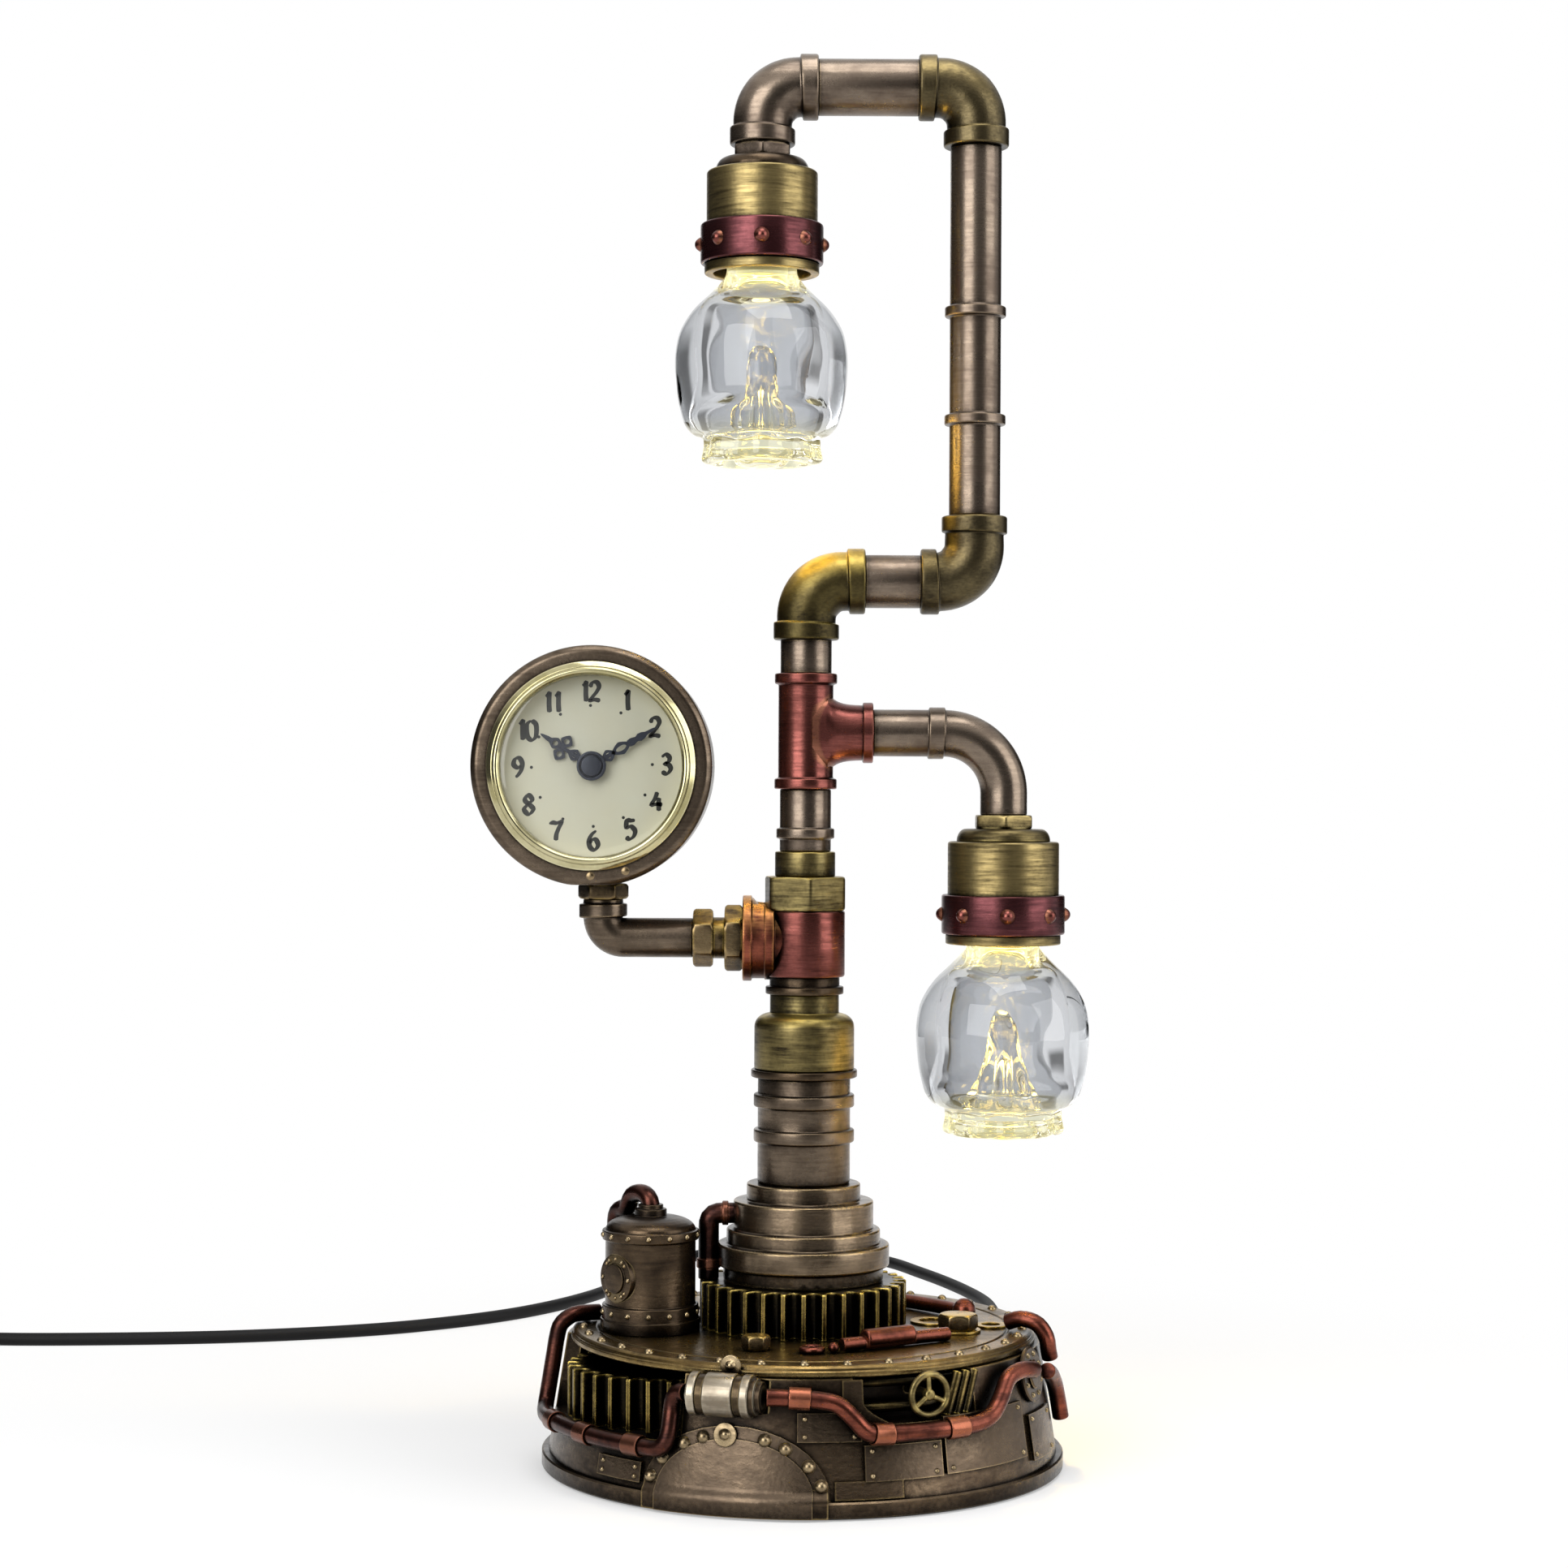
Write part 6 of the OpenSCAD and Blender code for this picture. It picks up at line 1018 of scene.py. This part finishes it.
# behind the handwheel: two pipes across the pocket and a rack of slanted bars at its right-hand end
pocketSpec = {"pipeAz": (13.5, 40), "pipeHeights": (30.9, 38.4), "pipeIn": -5.5, "pipe": 1.6, "barAz": (33.8, 38.2),
              "barHeights": (27.6, 40), "barIn": -0.7, "bar": 1.5, "bars": 3, "barPitch": 2.6}
az = np.linspace(*pocketSpec["pipeAz"], 12)
fitted = [rod(wallPoint(az, z + 0 * az, pocketSpec["pipeIn"]), pocketSpec["pipe"], 16, "out")
          for z in pocketSpec["pipeHeights"]]
fitted += [rod(wallPoint(np.array(pocketSpec["barAz"]) + pocketSpec["barPitch"] * k, np.array(pocketSpec["barHeights"]),
                         pocketSpec["barIn"]), pocketSpec["bar"], 14, "out") for k in range(pocketSpec["bars"])]
makePiece("pocket_fittings", joined(*fitted), "gear")

# handwheel: a wire ring, three spokes, a hub and the spindle; its own z points away from the drum
wheelSpec = {"az": 28, "z": 35.2, "proud": 3.2, "ring": 6.1, "wire": 1.0, "spokes": (95, 215, 335),
             "spokeEnds": (0.8, 6.2), "spoke": 0.8, "hub": [(1.7, -1), (1.7, 0.7), (0.9, 1.2)],
             "spindle": 1.5, "spindleFoot": 58.5}
out = drumRadius(wheelSpec["z"]) + wheelSpec["proud"]
spokes = [rod(ringed(np.array(wheelSpec["spokeEnds"]), out, v * deg), wheelSpec["spoke"], 14)
          for v in wheelSpec["spokes"]]
hub = lathed([(r, out + rise) for r, rise in wheelSpec["hub"]], 0, 0.4, 28)
spindle = lathed([(wheelSpec["spindle"], wheelSpec["spindleFoot"]), (wheelSpec["spindle"], out - 0.9)], 0, 0.2, 24)
ring = moved(hoop(wheelSpec["ring"], wheelSpec["wire"], 64), to=(0, 0, out))
wheel = moved(joined(ring, *spokes, hub, spindle), spin("z", wheelSpec["az"]) @ upright, (0, 0, wheelSpec["z"]))
makePiece("valve_handwheel", wheel, "darkBrass", ("handwheel",), "wheel")

# tank with a domed lid and a porthole
tankSpec = {"at": (-48.5, -10, plateTop), "portAz": -48, "portHigh": 17.3, "portOut": 13.1,
            "outline": [(11.8, 0), (15.8, 0), (15.8, 3.8), (15.3, 3.85), (15.3, 8.2), (14.3, 8.3), (14.3, 28.6),
                        (15.3, 28.7), (15.3, 31.7), *shoulder(5.1, 31.7, 9.2, 4.3, 75), (5.1, 36), (5.1, 38.2),
                        (4, 38.25), (4, 39.6), (1, 39.6), (1, 30), (11.8, 29.7)],
            "port": [(7.6, -1), (7.6, 1.2), (4.6, 1.25), (4.6, 2.1)], "rivets": 8, "rivet": (0.75, 0.6),
            "rivetAt": (6.1, 1.15)}
portTurn = spin("z", tankSpec["portAz"]) @ upright
portAt = np.array(tankSpec["at"]) + (0, 0, tankSpec["portHigh"]) + portTurn @ (0, 0, tankSpec["portOut"])
porthole = moved(lathed(tankSpec["port"], 0, 0.35, 56), portTurn, portAt)
tank = joined(moved(turned(tankSpec["outline"], 0.4, 112), to=tankSpec["at"]), porthole)
makePiece("plate_tank", tank, "tankBronze", ("tank",))
portRivets = domes(*tankSpec["rivet"], ringed(*tankSpec["rivetAt"], around(tankSpec["rivets"])))
makePiece("porthole_rivets", moved(portRivets, portTurn, portAt), "lowBronze")

# copper pipes on the plate: low ones with a thick sleeve, two balls and a hoop; tall ones by the tank and the gear
plumbSpec = {"sleeved": [(11.5, -49.5, 46.2), (17.5, -46, 46.2), (34.5, -35.5, 46.2), (45, -29, 46.2)],
             "sleeve": [(18.5, -45.4, 47.2), (33.5, -36.1, 47.2)],
             "rear": [(23, 42, 46.4), (36, 30, 46.4), (47, 17, 46.6), (52, 9, 46.6)],
             "hoopAt": (2.5, -51, 45.1), "bigBall": 3.8, "bigBallAt": (52, 6.6, 47.7), "smallBall": 1.7,
             "smallBallAt": (9, -51.4, 45.7),
             "arch": [(-48.5, -10, 80), (-48.5, -10, 83.4), (-49.7, -8.4, 85.8), (-52, -5.2, 86.4), (-54.6, -1.6, 85.2),
                      (-55.9, 0.2, 82.2), (-56.7, 1.5, 80.4), (-58.7, 4.4, 80), (-60.2, 6.6, 77.6), (-60.4, 6.9, 72),
                      (-60.4, 6.9, 58), (-60.4, 6.9, 44)],
             "archSide": (0.84, 0.54, 0.05), "elbow": [(-21.5, 0, 79.5), (-30.3, 0, 79.5), (-30.3, 0, 58.5)],
             "levelEnd": [(-26, 0, 79.5), (-24, 0, 79.5)], "lowEnd": [(-30.3, 0, 62), (-30.3, 0, 65)]}
ball = np.array([(0, -1), (0.35, -0.93), (0.7, -0.7), (0.93, -0.35), (1, 0), (0.93, 0.35), (0.7, 0.7), (0.35, 0.93),
                 (0, 1)])
bigBall = turned(ball * plumbSpec["bigBall"], 0.3, 32, solid=True)
smallBall = turned(ball * plumbSpec["smallBall"], 0.2, 24, solid=True)
lowPipes = joined(rod(plumbSpec["sleeved"], 2.1, 24), rod(plumbSpec["sleeve"], 3.1, 28, soft=0.9),
                  rod(smoothRoute(plumbSpec["rear"], 8), 2.3, 24), moved(bigBall, to=plumbSpec["bigBallAt"]),
                  moved(hoop(3, 1.1, 32, 20), to=plumbSpec["hoopAt"]), moved(smallBall, to=plumbSpec["smallBallAt"]))
makePiece("pipes_on_plate", lowPipes, "pipeCopper", ("plate_pipes",))
tallElbow = softened(plumbSpec["elbow"], 4, closed=False, steps=10)
tallPipes = joined(rod(smoothRoute(plumbSpec["arch"], 8), 2.9, 28, plumbSpec["archSide"]),
                   rod(tallElbow, 3.3, 28, (0, 1, 0)), rod(plumbSpec["levelEnd"], 3.9, 28),
                   rod(plumbSpec["lowEnd"], 3.9, 28, (0, 1, 0)))
makePiece("tall_plate_pipes", tallPipes, "darkCopper")

# bolts as (corner, height, hole) and washers as (hole, radius, thickness, columns), each with its place
boltSpec = {"bolts": [((4.6, 4.6, 0.4), (-14.6, -46, plateTop)), ((6.4, 5, 0.4), (49, -13, plateTop + 0.9))],
            "washers": [((0, 7.2, 0.9, 48), (49, -13, plateTop)), ((4.6, 7.5, 0.8, 48), (42, 4, plateTop)),
                        ((3, 5.4, 0.8, 40), (60, -3, plateTop))]}
hardware = [moved(hexNut(*size), to=at) for size, at in boltSpec["bolts"]]
hardware += [moved(lathed([(r, 0), (r, thick)], hole, 0.25, columns), to=at)
             for (hole, r, thick, columns), at in boltSpec["washers"]]
makePiece("plate_hardware", joined(*hardware), "nutBronze", ("plate_bolts",))
print("base made")

# solids that stay as they are, with their finishes
kept = {"felt": ["felt_pad"], "darkSheet": ["base_cover"], "steel": ["cover_screws", "tie_rod", "plug_pins", "battery"],
        "drumBronze": ["base_drum"], "plateBronze": ["drum_plates"], "rivetBronze": ["plate_rivets"],
        "led": ["led_modules"], "blackPlastic": ["rotary_switch", "led_driver", "insert_cup", "movement"],
        "whitePlastic": ["set_knob"], "dialCard": ["dial"], "rubber": ["shade_grommets", "wiring"]}
for finish, names in kept.items():
    for name in names:
        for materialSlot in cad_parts[name].material_slots:
            materialSlot.material = finishes[finish]

# studio: white sweep that keeps the shadow, broad soft lights, dark cards that only the metal mirrors; in metres
studioSpec = {"ambient": 0.5, "white": "#ffffff", "paper": "#f4f4f4",
              "floor": [(-6, -4, 0), (6, -4, 0), (6, 10, 0), (-6, 10, 0)], "shadow": (0.1, 0.42), "shadowShare": 0.35,
              "lights": [("left_key", (-0.8, -1.2, 0.75), (0, 0, 0.22), (1.0, 1.3), 16.0),
                         ("right_key", (1.3, -0.55, 0.6), (0, 0, 0.22), (1.0, 1.3), 9.0),
                         ("top_light", (0.1, -0.2, 1.3), (0, 0, 0.1), (0.7, 0.7), 6.0)],
              "bulb": 0.3, "bulbColour": "#ffd45e", "bulbRadius": 6, "bulbDrop": 96,
              "cardDistance": 1.5, "cardFade": 6, "cardHigh": 1.6, "topFade": 0.8, "footFade": 0.4,
              "cards": [("left_card", -160, -60, 0.0, "mirrored"), ("front_card", -9, 49, 0.0, "mirrored"),
                        ("right_card", 112, 160, 0.0, "mirrored"), ("left_glass_card", -140, -109, 0.25, "behind"),
                        ("right_glass_card", 104, 142, 0.2, "behind")]}


def seenShare(tree):
    # 1 where the camera, a mirror or a glass looks at the surface, 0 where the surface lights something
    path = addNode(tree, "LightPath")
    share = path.outputs["Is Camera Ray"]
    for ray in ("Is Glossy Ray", "Is Transmission Ray"):
        share = addNode(tree, "Math", 0, {0: share, 1: path.outputs[ray]}, operation="MAXIMUM")
    return share


scene.world = bpy.data.worlds.new("studio")
scene.world.use_nodes = True
tree = scene.world.node_tree
strength = addNode(tree, "MapRange", "Result", {"Value": seenShare(tree), "To Min": studioSpec["ambient"],
                                                "To Max": 1.0})
feed(tree, tree.nodes["Background"], {"Strength": strength, "Color": linear(studioSpec["white"])})

# matt paper near the lamp, where its shadow falls, plain white further out
paper, tree, shader = newMaterial("white_paper")
tree.nodes.remove(shader)
matte = addNode(tree, "BsdfDiffuse", 0, {"Color": linear(studioSpec["paper"])})
glow = addNode(tree, "Emission", 0, {"Strength": seenShare(tree)})
far = addNode(tree, "VectorMath", "Value", {0: addNode(tree, "TexCoord", "Object")}, operation="LENGTH")
near, beyond = studioSpec["shadow"]
fade = addNode(tree, "MapRange", "Result", {"Value": far, "From Min": near, "From Max": beyond,
                                            "To Min": studioSpec["shadowShare"], "To Max": 1.0},
               interpolation_type="SMOOTHSTEP")
feed(tree, tree.nodes["Material Output"], {"Surface": addNode(tree, "MixShader", 0, {0: fade, 1: matte, 2: glow})})
floorMesh = bpy.data.meshes.new("floor")
floorMesh.from_pydata(studioSpec["floor"], [], [(0, 1, 2, 3)])
floorMesh.materials.append(paper)
placed("floor", floorMesh)

# soft boxes, each aimed at a target: tilted by the arccosine of the aim's fall, turned by the arctangent of its sides
for name, place, target, size, power in studioSpec["lights"]:
    data = bpy.data.lights.new(name, "AREA")
    data.shape = "RECTANGLE"
    data.size, data.size_y = size
    data.energy = power
    light = placed(name, data)
    light.location = place
    aim = unit(np.array(target, float) - place)
    light.rotation_euler = (math.acos(-aim[2]), 0, math.atan2(aim[0], -aim[1]) + math.pi)
for spot in heads:  # the two lit lamps
    data = bpy.data.lights.new("bulb", "POINT")
    data.energy = studioSpec["bulb"]
    data.color = linear(studioSpec["bulbColour"])[:3]
    data.shadow_soft_size = studioSpec["bulbRadius"] * mm
    bulb = placed("bulb", data)
    bulb.location = (np.array(spot) - (0, 0, studioSpec["bulbDrop"])) * mm
    bulb.visible_camera = bulb.visible_transmission = False
# dark cards with soft edges, which light nothing: black ones for the metal to mirror, grey ones behind for the glass
rise = np.linspace(0.01, studioSpec["cardHigh"], 13)[:, None]
for name, low, high, grey, kind in studioSpec["cards"]:
    card, tree, shader = newMaterial(name)
    tree.nodes.remove(shader)
    depth = addNode(tree, "Attribute", "Fac", attribute_name="depth")
    strength = addNode(tree, "MapRange", "Result", {"Value": depth, "To Min": 1.0, "To Max": grey})
    feed(tree, tree.nodes["Material Output"], {"Surface": addNode(tree, "Emission", 0, {"Strength": strength})})
    az = np.linspace(low, high, 25)
    points, quads = surface(ringed(studioSpec["cardDistance"], rise, (az - 90) * deg), False, False)
    depths = eased(np.minimum(az - low, high - az) / studioSpec["cardFade"])
    depths = depths * np.clip((studioSpec["cardHigh"] - rise) / studioSpec["topFade"], 0, 1)
    if kind == "behind":
        depths = depths * np.clip(rise / studioSpec["footFade"], 0, 1)
    mesh = bpy.data.meshes.new(name)
    mesh.from_pydata(points.tolist(), [], quads.tolist())
    mesh.materials.append(card)
    mesh.attributes.new("depth", "FLOAT", "POINT").data.foreach_set("value", depths.ravel().astype(np.float32))
    screen = placed(name, mesh)
    screen.visible_camera = screen.visible_diffuse = screen.visible_shadow = False
    screen.visible_glossy, screen.visible_transmission = kind == "mirrored", kind == "behind"
